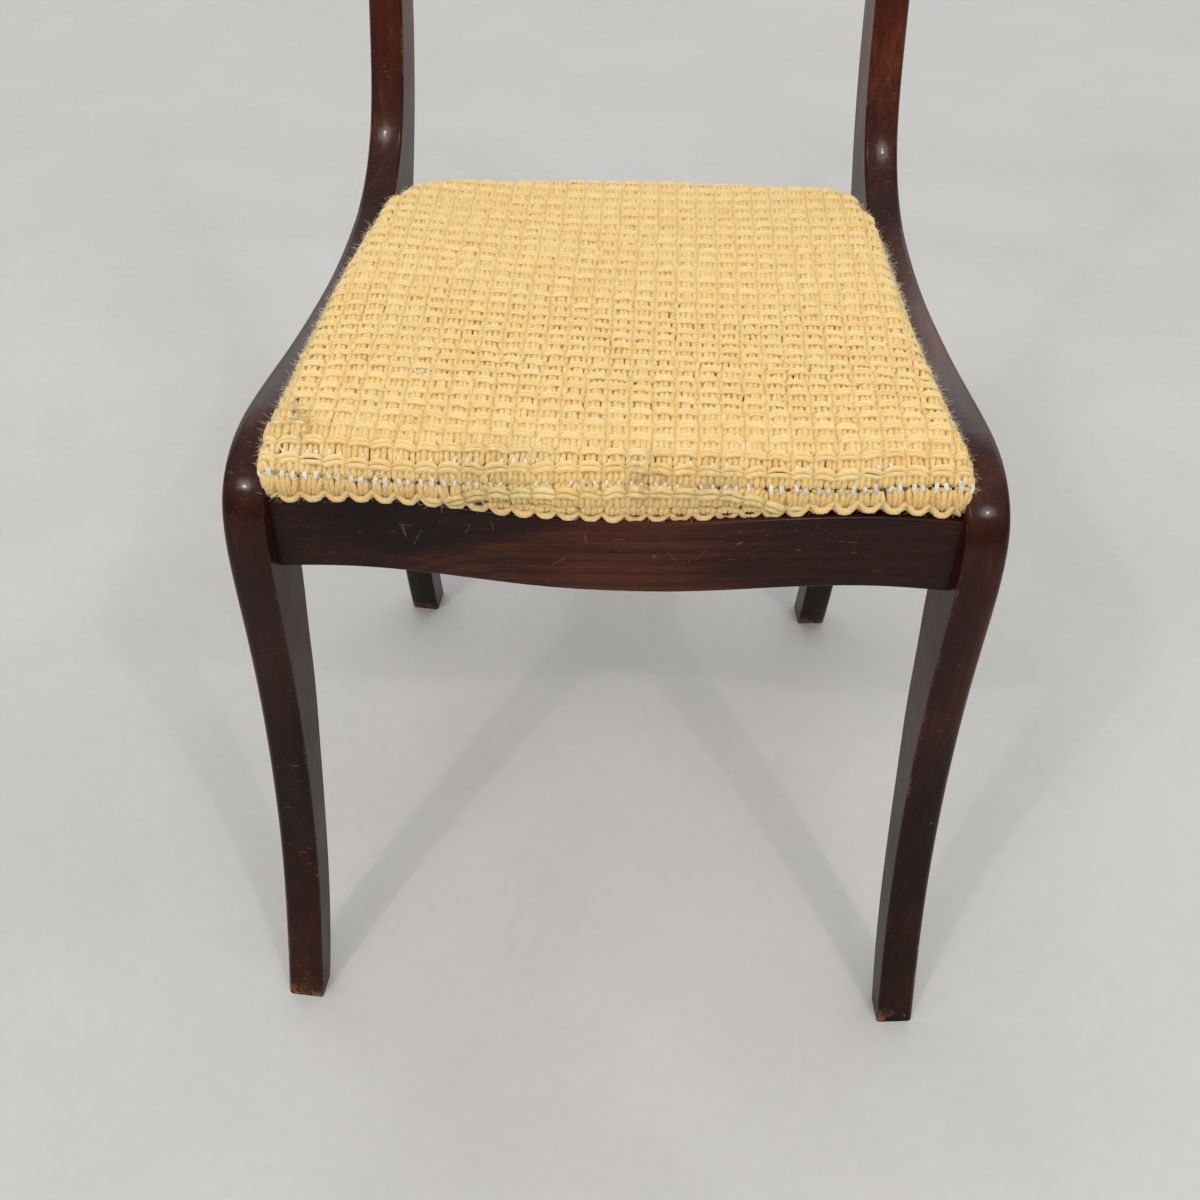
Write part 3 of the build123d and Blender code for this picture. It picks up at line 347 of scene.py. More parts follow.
class Strands:
    """Collects round strands swept along paths into one mesh."""

    def __init__(self):
        self.v, self.q, self.uv, self.tone, self.caps, self.n = [], [], [], [], [], 0

    def add(self, path, normal, radius, sides=6, tone=0.5, lobes=0, lobe=0.0, turn=7.0, start=None):
        """path, normal: (strands, points, 3) in mm; radius and tone broadcast to (strands, points)."""
        p = np.asarray(path, float)
        m, k, _ = p.shape
        nrm = np.broadcast_to(normal, p.shape)
        r = np.broadcast_to(radius, (m, k))
        t = unit(np.gradient(p, axis=1))
        b = unit(np.cross(t, nrm))
        n2 = np.cross(b, t)
        length = np.concatenate([np.zeros((m, 1)), np.cumsum(np.linalg.norm(np.diff(p, axis=1), axis=2), axis=1)], 1)
        if start is not None:
            length = length + np.asarray(start).reshape(-1, 1)
        ang = -math.pi / 2 + 2 * math.pi * np.arange(sides) / sides
        rr = r[:, :, None] * np.ones(sides)
        if lobes:
            rr = rr * (1 + lobe * np.cos(lobes * (ang - 2 * math.pi * length[:, :, None] / turn)))
        v = p[:, :, None, :] + (np.cos(ang) * rr)[..., None] * b[:, :, None, :] + (np.sin(ang) * rr)[..., None] * n2[:, :, None, :]
        ring = np.arange(sides)
        nxt = (ring + 1) % sides
        base = (np.arange(m)[:, None, None] * k + np.arange(k - 1)[None, :, None]) * sides
        quads = np.stack([base + ring, base + sides + ring, base + sides + nxt, base + nxt], -1).reshape(-1, 4)
        u0, u1 = length[:, :-1, None] * np.ones(sides), length[:, 1:, None] * np.ones(sides)
        v0, v1 = np.broadcast_to(ring / sides, u0.shape), np.broadcast_to((ring + 1) / sides, u0.shape)
        uv = np.stack([np.stack([u0, v0], -1), np.stack([u1, v0], -1), np.stack([u1, v1], -1), np.stack([u0, v1], -1)], -2).reshape(-1, 4, 2)
        cap = {3: [], 4: [(0, 1, 2, 3)], 5: [], 6: [(0, 1, 2, 3), (0, 3, 4, 5)], 8: [(0, 1, 2, 3), (0, 3, 4, 7), (4, 5, 6, 7)]}[sides]
        caps = []
        for c in cap:
            c = np.array(c)
            first = np.arange(m)[:, None] * k * sides
            caps += [first + c, first + (k - 1) * sides + c[::-1]]
        if caps:
            caps = np.concatenate(caps)
            quads = np.concatenate([quads, caps])
            uv = np.concatenate([uv, np.zeros((len(caps), 4, 2))])
        if sides == 3:
            first = self.n + np.arange(m) * k * 3
            last = first + (k - 1) * 3
            self.caps += [np.array(f) for a, z in zip(first, last) for f in ((a, a + 1, a + 2), (z + 2, z + 1, z))]
        self.v.append(v.reshape(-1, 3))
        self.q.append(quads + self.n)
        self.uv.append(uv)
        self.tone.append(np.repeat(np.broadcast_to(tone, (m, k)).reshape(-1), sides))
        self.n += m * k * sides

    def make(self, name, material):
        return mesh_object(name, np.concatenate(self.v), np.concatenate(self.q), material,
                           np.concatenate(self.uv), np.concatenate(self.tone), extra=self.caps)


# ---------------------------------------------------------------------------
# crest rail and cross rail, with carving on their front faces
# ---------------------------------------------------------------------------
RAKE = math.radians(11.3)
BACK_UP = np.array([0, math.sin(RAKE), math.cos(RAKE)])
BACK_OUT = np.array([0, math.cos(RAKE), -math.sin(RAKE)])


def leaflet(x, v, base, angle, length, width, height):
    """Height of one carved leaflet: a pointed blade with a sunk midrib and a rounded body."""
    c, s = math.cos(angle), math.sin(angle)
    a = ((x - base[0]) * c + (v - base[1]) * s) / length
    b = -(x - base[0]) * s + (v - base[1]) * c
    half = width / 2 * np.sin(math.pi * np.clip(a, 0, 1) ** 0.72) ** 0.85 + 1e-6
    body = np.clip(1 - (b / half) ** 2, 0, 1) ** 0.55
    body = np.where((a > 0) & (a < 1), body, 0)
    vein = np.exp(-(b / (0.10 * width)) ** 2) * (1 - a) * 0.55
    ribs = 0.10 * np.cos((a * 5.5 - np.abs(b) / width * 2.2) * 2 * math.pi)
    return height * body * (0.62 + 0.38 * np.sin(math.pi * np.clip(a, 0, 1))) * (1 - vein + ribs * body)


def rosette(x, v, centre, radius, height, petals=8):
    dx, dv = x - centre[0], v - centre[1]
    r, phi = np.hypot(dx, dv) / radius, np.arctan2(dv, dx)
    lobe = np.abs(np.cos(phi * petals / 2)) ** 0.7
    edge = 0.80 + 0.20 * lobe
    petal = np.clip(1 - (r / edge) ** 4, 0, 1) ** 0.6 * (0.45 + 0.55 * lobe) * np.clip(0.35 + r, 0, 1)
    inner = np.clip(1 - (r / 0.52) ** 4, 0, 1) ** 0.6 * (0.80 + 0.28 * np.abs(np.sin(phi * petals / 2)) ** 0.8)
    boss = 1.12 * np.sqrt(np.clip(1 - (r / 0.24) ** 2, 0, 1)) + 0.35 * (r < 0.24)
    return height * np.maximum(np.maximum(petal * 0.8, inner * 0.9), boss)


def rail_piece(name, origin, top, low, arc_r, front_y, back_y, half_at, carve, edge_front, edge_back, stations, rows, material):
    """A back rail: bowed in plan, waved in outline, rounded at its edges, carved in front.
    half_at(y) gives the half length at plan depth y, so that the ends follow the stiles' faces."""
    us = np.sin(np.linspace(-1, 1, stations) * math.pi / 2 * 0.86) / math.sin(math.pi / 2 * 0.86)
    ends = half_at(0.5 * (front_y + back_y) - 12)
    x0 = us * ends
    t = 0.5 - 0.5 * np.cos(np.linspace(0, 1, rows) * math.pi) if False else np.linspace(0, 1, rows)
    lo, hi = low(x0)[:, None], top(x0)[:, None]
    slope = np.sqrt(1 + np.gradient(top(x0), x0) ** 2)[:, None]
    slope_lo = np.sqrt(1 + np.gradient(low(x0), x0) ** 2)[:, None]
    # rows crowd towards the edges, so that the round-over is smooth
    tt = t - 0.11 * np.sin(2 * math.pi * t)
    v = lo + (hi - lo) * tt[None, :]
    x = np.broadcast_to(x0[:, None], v.shape)
    gap = np.minimum(np.minimum((v - lo) / slope_lo, (hi - v) / slope), (ends - np.abs(x)) if edge_front[1] else 1e9)

    def over(r):
        d = np.clip(gap, 0, r)
        return r - np.sqrt(np.clip(r * r - (r - d) ** 2, 0, None))
    bow = arc_r - np.sqrt(arc_r ** 2 - x ** 2)
    front = front_y - bow + over(edge_front[0]) - carve(x, v, gap)
    back = back_y - bow - over(edge_back)

    def place(y, v):
        xs = us[:, None] * half_at(y)
        return np.array(origin) + xs[..., None] * np.array([1.0, 0, 0]) + v[..., None] * BACK_UP + y[..., None] * BACK_OUT
    f = place(front, v)
    nb = 22
    pick = np.linspace(0, rows - 1, nb).round().astype(int)[::-1]
    b = place(back[:, pick], v[:, pick])
    wall_top = place(0.5 * (front[:, -1:] + back[:, -1:]), v[:, -1:])
    wall_low = place(0.5 * (front[:, :1] + back[:, :1]), v[:, :1])
    ring = np.concatenate([f, wall_top, b, wall_low], 1)
    m = ring.shape[1]
    i, j = np.meshgrid(np.arange(stations - 1), np.arange(m), indexing="ij")
    k = (j + 1) % m
    quads = np.stack([i * m + j, (i + 1) * m + j, (i + 1) * m + k, i * m + k], -1).reshape(-1, 4)
    caps = [np.arange(m), ((stations - 1) * m + np.arange(m))[::-1]]
    ob = mesh_object(name, ring.reshape(-1, 3), quads, material, extra=caps)
    ob.data.set_sharp_from_angle(angle=math.radians(48))
    return ob


STILE_X, STILE_T = 181.83, 25.5
CREST_HALF = STILE_X + STILE_T / 2 + 0.4
crest_top_pts = [(CREST_HALF, 24), (CREST_HALF - 6, 37), (CREST_HALF - 26, 44), (130, 44), (90, 47), (48, 57), (0, 63),
                 (-48, 57), (-90, 47), (-130, 44), (-CREST_HALF + 26, 44), (-CREST_HALF + 6, 37), (-CREST_HALF, 24)]
crest_low_pts = [(-167.08, 0), (-145, 1.5), (-105, -1.5), (-55, -9), (0, -13), (55, -9), (105, -1.5), (145, 1.5), (167.08, 0)]
cross_top_pts = [(210, 14), (165, 13), (120, 10.5), (80, 13), (42, 22), (0, 28), (-42, 22), (-80, 13), (-120, 10.5), (-165, 13), (-210, 14)]
cross_low_pts = [(-210, -14), (-165, -14.5), (-120, -18.5), (-80, -18.5), (-42, -15), (0, -13), (42, -15), (80, -18.5), (120, -18.5),
                 (165, -14.5), (210, -14)]


def outline(points):
    c = curve_by_length(points, 900)
    c = c[np.argsort(c[:, 0])]
    return lambda x: np.interp(x, c[:, 0], c[:, 1])


crest_top, crest_low = outline(crest_top_pts), outline(crest_low_pts)
crest_low_fn = lambda x: np.where(np.abs(x) > 167.0, 0.0, crest_low(x))
cross_top, cross_low = outline(cross_top_pts), outline(cross_low_pts)


def crest_carving(x, v, gap):
    mid = 0.5 * (crest_top(x) + crest_low_fn(x))
    panel = smoothstep(6.0, 8.2, gap) * smoothstep(152, 147, np.abs(x))
    bead = np.exp(-((gap - 4.4) / 1.3) ** 2) * smoothstep(163, 158, np.abs(x)) * 0.9
    h = rosette(x, v, (0, 25.0), 17.5, 4.4)
    for side in (1, -1):
        sx = side * x
        stem_v = 25.0 - 1.5 * np.sin((sx - 16) / 34.0)
        stem = np.clip(1 - ((v - stem_v) / 1.5) ** 2, 0, 1) ** 0.5 * 2.3 * smoothstep(13, 17, sx) * smoothstep(134, 128, sx)
        h = np.maximum(h, stem)
        for i, at in enumerate((17, 33, 49, 64, 78, 91, 103, 114)):
            size = 1.0 - 0.052 * i
            y_at = 25.0 - 1.5 * math.sin((at - 16) / 34.0)
            for way in (1, -1):
                h = np.maximum(h, leaflet(sx, v, (at, y_at), way * (0.80 - 0.02 * i), 25 * size, 10.5 * size, 3.9 * (1 - 0.03 * i)))
        h = np.maximum(h, leaflet(sx, v, (118, 25.0 - 1.5 * math.sin(102 / 34.0)), 0.0, 27, 9.5, 3.4))
    return -2.8 * panel + np.minimum(h, 4.6) * panel + bead


def cross_carving(x, v, gap):
    panel = smoothstep(4.2, 6.0, gap) * smoothstep(92, 86, np.abs(x))
    bead = np.exp(-((gap - 2.9) / 1.0) ** 2) * 0.6 * smoothstep(165, 158, np.abs(x))
    h = rosette(x, v, (0, 7.0), 13.0, 3.6)
    for side in (1, -1):
        sx = side * x
        stem_v = 7.0 - 8.5 * smoothstep(10, 80, sx)
        stem = np.clip(1 - ((v - stem_v) / 1.2) ** 2, 0, 1) ** 0.5 * 1.8 * smoothstep(10, 13, sx) * smoothstep(80, 75, sx)
        h = np.maximum(h, stem)
        for i, at in enumerate((13, 25, 37, 48, 58)):
            size = 1.0 - 0.09 * i
            y_at = float(7.0 - 8.5 * smoothstep(10, 80, np.array(at)))
            for way in (1, -1):
                h = np.maximum(h, leaflet(sx, v, (at, y_at), way * 0.62 - 0.10, 20 * size, 8.2 * size, 3.0))
        h = np.maximum(h, leaflet(sx, v, (64, -0.4), -0.08, 21, 7.4, 2.8))
    return -2.0 * panel + np.minimum(h, 3.6) * panel + bead


crest = rail_piece("crest_rail_carved", (0, 244.93, 787.19), crest_top, crest_low_fn, 1016.4, 7.5, 32.5,
                   lambda y: CREST_HALF + 0 * y, crest_carving, (4.0, True), 3.0, 420, 96, wood("wood_crest_rail", 0, UP, 9.4, foot=False, wear=0.5))
cross = rail_piece("cross_rail_carved", (0, 220.24, 654.99), cross_top, cross_low, 1170.0, 5.0, 23.0,
                   lambda y: 171.5 - 0.0839 * y, cross_carving, (2.6, False), 2.2, 340, 64, wood("wood_cross_rail", 0, UP, 10.7, foot=False, wear=0.5))
for ob, node in ((crest, "crest_rail"), (cross, "cross_rail")):
    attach(ob, "frame")
    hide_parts(node)

# ---------------------------------------------------------------------------
# the seat: a crowned pad under a handwoven yarn cover
# ---------------------------------------------------------------------------
rng = np.random.default_rng(11)
serpentine = natural_cubic([240, 200, 160, 118, 72, 38, 0, -38, -72, -118, -160, -200, -240],
                           [64.0, 68.2, 69.6, 66.6, 60.6, 57.0, 55.8, 57.0, 60.6, 66.6, 69.6, 68.2, 64.0])
RAIL_S = [56, 63.6, 72, 80.5, 92, 103, 125, 153, 182, 214, 247, 280, 309, 335, 360, 383, 398]
RAIL_Z = [415, 431.5, 440.5, 446, 450.3, 452.6, 453.4, 450.9, 447.3, 443.4, 440.4, 438.5, 437.7, 438.8, 441.4, 445.4, 449.2]
YARN = 4.2               # yarn above the ground cloth
COL = 13.8               # width of one stitch block
# how far the cover reaches over the side rails' inner faces, by depth, at the left and at the right
OVER_D = [60, 70, 80, 90, 105, 125, 150, 200, 250, 300, 350, 390, 415, 428, 440]
OVER_LEFT = [6.0, 6.4, 8.0, 8.2, 7.6, 7.0, 8.0, 10.2, 12.2, 11.0, 9.6, 4.6, -0.5, -1.8, -3.0]
OVER_RIGHT = [6.3, 6.6, 7.6, 7.8, 6.2, 4.4, 2.8, 2.6, 2.9, 4.4, 5.4, 3.0, 0.8, -1.5, -3.0]
# how far the cover's front stands behind the front rail's face, by x
FRONT_X = [-240, -190, -150, -100, -50, 0, 50, 100, 150, 190, 240]
FRONT_GAP = [-4.0, -3.8, -2.6, -2.2, -2.0, -1.4, 0.6, 0.9, 1.8, 1.2, 0.2]
FRONT_END = [426.5, 426.8, 428.2, 429.6, 430.0, 430.0, 430.0, 430.0, 430.0, 430.0, 430.0]
# depth of the cover's back line, by x
BACK_X = [-200, -130, -60, 0, 60, 110, 160, 200]
BACK_D = [438.0, 438.0, 437.3, 437.3, 439.0, 440.5, 441.0, 441.0]


def inner_x(d):
    return 213.187 - 0.08522 * (d + 2.04) / 0.99636


def overhang(x, d):
    left, right = np.interp(d, OVER_D, OVER_LEFT), np.interp(d, OVER_D, OVER_RIGHT)
    return left + (right - left) * smoothstep(-60, 60, x)


def round_meet(a, b, r):
    u, w = np.maximum(r + a, 0), np.maximum(r + b, 0)
    return np.minimum(-r, np.maximum(a, b)) + np.hypot(u, w)


def parts_of(x, d):
    f1 = serpentine(x) + np.interp(x, FRONT_X, FRONT_GAP) - d
    f2 = (np.abs(x) - inner_x(d) - overhang(x, d)) * 0.9964
    f3 = d - np.interp(x, BACK_X, BACK_D)
    return f1, f2, f3


def outside(x, d):
    """Signed distance from the cover's outermost line, negative inside."""
    f1, f2, f3 = parts_of(x, d)
    return round_meet(round_meet(f2, f3, 26.0 - 12.0 * smoothstep(-60, 60, x)), f1, 10.0)


def side_need(d):
    """Height that the ground cloth needs to pass over the side rails."""
    return np.interp(d, RAIL_S, RAIL_Z) + 3.0


def seat_line(x, d, inset):
    """Signed distance from the seat frame's opening line, moved in by inset; negative inside."""
    f1 = serpentine(x) + 3.0 + inset - d
    f2 = (np.abs(x) - inner_x(d)) * CA + 2.0 + inset
    return round_meet(round_meet(f2, d - 437.0 + inset, 16.0), f1, 5.0)


def crown(x, d):
    r2 = x * x + (d - 250.0) ** 2
    z = 470.0 - YARN - (2380.0 - np.sqrt(2380.0 ** 2 - r2))
    edge_x = inner_x(d) + overhang(x, d) - 8
    at_edge = 470.0 - YARN - (2380.0 - np.sqrt(2380.0 ** 2 - edge_x ** 2 - (d - 250.0) ** 2))
    need = np.where((d > 76) & (d < 170), np.maximum(side_need(d) - at_edge, 0), 0)
    z = z + need * np.exp(-np.maximum(edge_x - np.abs(x), 0) / 30.0)
    z = z + 2.0 * smoothstep(30, 150, x) * smoothstep(340, 420, d)
    return z + 0.55 * np.sin(x / 47 + 0.5) * np.sin(d / 53 + 1.0) + 0.35 * np.sin(x / 21 + 2.0) * np.sin(d / 29 + 0.4)


def roll(x, d):
    """Where a point of the cloth lies beyond the start of the rolled edge, and the roll's shape there."""
    f1, f2, f3 = parts_of(x, d)
    wf = smoothstep(-12, 12, f1 - np.maximum(f2, f3))
    wb = smoothstep(-12, 12, f3 - np.maximum(f1, f2))
    ws = np.clip(1 - wf - wb, 0, 1)
    a = 21.0 * wf + 12.0 * ws + 13.0 * wb
    e = outside(x, d) + YARN + a
    h = 0.6
    gx = (outside(x + h, d) - outside(x - h, d)) / (2 * h)
    gd = (outside(x, d + h) - outside(x, d - h)) / (2 * h)
    g = np.maximum(np.hypot(gx, gd), 1e-9)
    gx, gd = gx / g, gd / g
    ep = np.maximum(e, 0)
    qx, qd = x - ep * gx, d - ep * gd
    top = crown(qx, qd)
    dd = np.clip(d, 72, 437)
    side_wide = np.interp(dd, [72, 90, 110, 400, 420, 437], [444, 449.5, 452, 447, 445, 442])
    side_wide = np.where((dd > 90) & (dd < 400), side_need(dd) + 2.0, side_wide)
    side_end = np.where(dd < 400, side_need(dd) - 0.6, 434.0)
    z_wide = np.minimum(435.5 * wf + side_wide * ws + 440.0 * wb, top - 1.0)
    z_end = np.minimum(np.interp(x, FRONT_X, FRONT_END) * wf + side_end * ws + 432.0 * wb, z_wide - 0.3)
    b = top - z_wide
    l1 = math.pi / 2 * np.sqrt((a * a + b * b) / 2)
    b2 = (z_wide - z_end) / math.sin(math.radians(72))
    l2 = math.radians(72) * b2
    return dict(e=e, gx=gx, gd=gd, qx=qx, qd=qd, top=top, a=a, b=b, l1=l1, b2=b2, l2=l2, end=l1 + l2, front=wf)


def lay(x, d, zeta):
    """Position and normal, in mm, of cloth point (x, d) raised by zeta."""
    x, d, zeta = np.broadcast_arrays(np.asarray(x, float), np.asarray(d, float), np.asarray(zeta, float))
    r = roll(x, d)
    e = np.clip(r["e"], 0, r["end"])
    th = np.clip(e / r["l1"], 0, 1) * math.pi / 2
    ph = np.clip((e - r["l1"]) / np.maximum(r["l2"], 1e-6), 0, 1) * math.radians(72) * (r["l2"] > 0.05)
    out = r["a"] * np.sin(th) - r["b2"] * (1 - np.cos(ph))
    down = r["b"] * (1 - np.cos(th)) + r["b2"] * np.sin(ph)
    n_out = np.where(ph > 0, np.cos(ph), r["b"] * np.sin(th))
    n_up = np.where(ph > 0, -np.sin(ph), r["a"] * np.cos(th))
    nn = np.maximum(np.hypot(n_out, n_up), 1e-9)
    n_out, n_up = n_out / nn, n_up / nn
    flat = r["e"] <= 0
    sx, sd = x / 2380.0, (d - 250.0) / 2380.0
    px = np.where(flat, x, r["qx"] + r["gx"] * out)
    pd = np.where(flat, d, r["qd"] + r["gd"] * out)
    pz = np.where(flat, crown(x, d), r["top"] - down)
    n = np.stack([np.where(flat, sx, r["gx"] * n_out), np.where(flat, sd, r["gd"] * n_out), np.where(flat, 1.0, n_up)], -1)
    n = unit(n)
    p = np.stack([px, pd + Y_TOE, pz], -1)
    return p + zeta[..., None] * n, n


# rows of the weave, from the front border to the back: where each row's bar crosses the middle line.
# The first row is a short one, which fills the bulge of the front edge.
rows = np.array([54.5, 67.5, 78.5, 92.0, 105.0, 117.0, 128.5, 140.5, 151.5, 162.5, 173.5, 185.0, 196.0, 207.0, 218.0, 230.0, 242.5, 256.0, 269.5,
                 283.0, 296.0, 310.0, 323.5, 337.0, 351.0, 365.0, 380.0, 395.0, 410.0, 424.0, 438.0, 451.0, 463.0, 475.0])
PITCH = np.diff(rows, prepend=rows[0] - 13.0)
BLOCKS = np.arange(-19, 20)


def edge_line(x):
    """Cloth depth where the front edge ends, at each x."""
    lo, hi = np.full_like(x, 10.0), np.full_like(x, 130.0)
    for _ in range(40):
        mid = 0.5 * (lo + hi)
        r = roll(x, mid)
        beyond = r["e"] > r["end"]
        lo, hi = np.where(beyond, mid, lo), np.where(beyond, hi, mid)
    return 0.5 * (lo + hi)


x_probe = np.linspace(-215, 215, 173)
front_end = edge_line(x_probe)


ZONES = [(-1e9, 115), (115, 210), (210, 306), (306, 1e9)]
zones = [Strands() for _ in ZONES]
warp = Strands()


def zone_of(d):
    return next(z for z, (lo, hi) in zip(zones, ZONES) if lo <= d < hi)


def lively(n, amount):
    return rng.normal(0, 1, n).clip(-2, 2) * amount


def sway(x, j):
    """A row's run: slightly askew, drawn forwards in the middle, wavering as worked by hand."""
    tilt = np.interp(rows[j], [64, 90, 125, 185, 260, 300, 360, 440], [0.022, 0.011, 0.003, -0.017, -0.024, -0.018, -0.006, -0.004])
    curve = np.interp(rows[j], [60, 200, 260, 310], [4.4e-4, 4.6e-4, 7.5e-4, 8.8e-4])
    ax = np.abs(x)
    ax = np.where(ax < 165, ax, 165 + 0.2 * (ax - 165))
    return tilt * np.clip(x, -175, 175) + curve * ax ** 2 + 0.45 * np.sin(x / 41.0 + 1.3 * j) + 0.30 * np.sin(x / 17.0 + 2.1 * j)


def reach(j, ahead=0.0, margin=0.5):
    """How far the cloth goes to the left and to the right along a row, before it ends under the edge."""
    out = []
    for side in (-1, 1):
        x = side * np.linspace(0, 262, 660)
        r = roll(x, rows[j] + sway(x, j) - ahead)
        over = r["e"] > r["end"] - margin
        out.append(x[np.argmax(over)] if over.any() else x[-1])
    return out


def short_row(x):
    """Where the bulge leaves room for the short first row."""
    return np.abs(x) < 6.5 * COL


SHORT = (-6.5 * COL, 6.5 * COL)
SHORT_BAR = (-8.4 * COL, 8.4 * COL)


def settle(x, j):
    """How far the short row's ends come down to the border."""
    if j:
        return 0 * x
    over = rows[0] + sway(x, 0) - (np.interp(x, x_probe, front_end) + 4.2)
    return smoothstep(5.2 * COL, 8.0 * COL, np.abs(x)) * over


def bars(j, d, shift):
    """The horizontal yarn of one row: two strands that arch over each block and dip between blocks."""
    xl, xr = SHORT_BAR if j == 0 else reach(j, 0.0, 0.5 if rows[j] < 400 else 4.5)
    if xr - xl < 60:
        return
    n = int((xr - xl) / COL * 8) + 8
    x = np.linspace(xl, xr, n)
    cell = np.floor(x / COL + 0.5 + shift).astype(int)
    xi = x / COL + shift - cell                                 # -0.5 .. 0.5 in each block
    cells = cell - cell.min()
    k = cells.max() + 1
    prof = 1 - smoothstep(0.28, 0.5, np.abs(xi))
    arch, rise, tilt = (1.7 + lively(k, 0.55))[cells], lively(k, 0.38)[cells], lively(k, 1.6)[cells]
    shade = lively(k, 0.09)[cells]
    clip = smoothstep(0, 6, np.minimum(x - xl, xr - x))
    big = float(np.clip(PITCH[j] / 12.0, 0.94, 1.22))
    for eta, zeta, rad in ((-1.46, 2.85, 1.70), (1.40, 2.62, 1.68)):
        fat = 1 + lively(k, 0.10)[cells] * prof
        e = big * eta * (0.62 + 0.38 * prof) + arch * (np.abs(xi) * 2) ** 2.4 - 0.5 + tilt * xi * prof
        z = 1.25 + (zeta - 1.25 + rise) * prof
        p, nn = lay(x, d + sway(x, j) - settle(x, j) - e, z * (0.45 + 0.55 * clip))
        # tone: light on the arch, darker where the bar dips between the blocks as painted shade, with a random shift
        # per block
        tone = np.clip(0.40 + 0.40 * prof + shade, 0, 1)
        zone_of(d).add(p[None], nn[None], (big * rad * fat * (0.80 + 0.20 * prof))[None], sides=8, tone=tone[None], start=[rng.uniform(0, 40)])
    # a thin dark ply under the bar, which follows its arch: a painted shade line along the bar's lower edge
    e = big * 3.25 * (0.62 + 0.38 * prof) + arch * (np.abs(xi) * 2) ** 2.4 - 0.5 + tilt * xi * prof
    p, nn = lay(x, d + sway(x, j) - settle(x, j) - e, (1.6 + 1.45 * prof) * (0.45 + 0.55 * clip))
    zone_of(d).add(p[None], nn[None], 0.50, sides=4, tone=0.14, start=[rng.uniform(0, 40)])


slit_x, slit_d, slit_n = [], [], []               # where the white warp shows: place and row


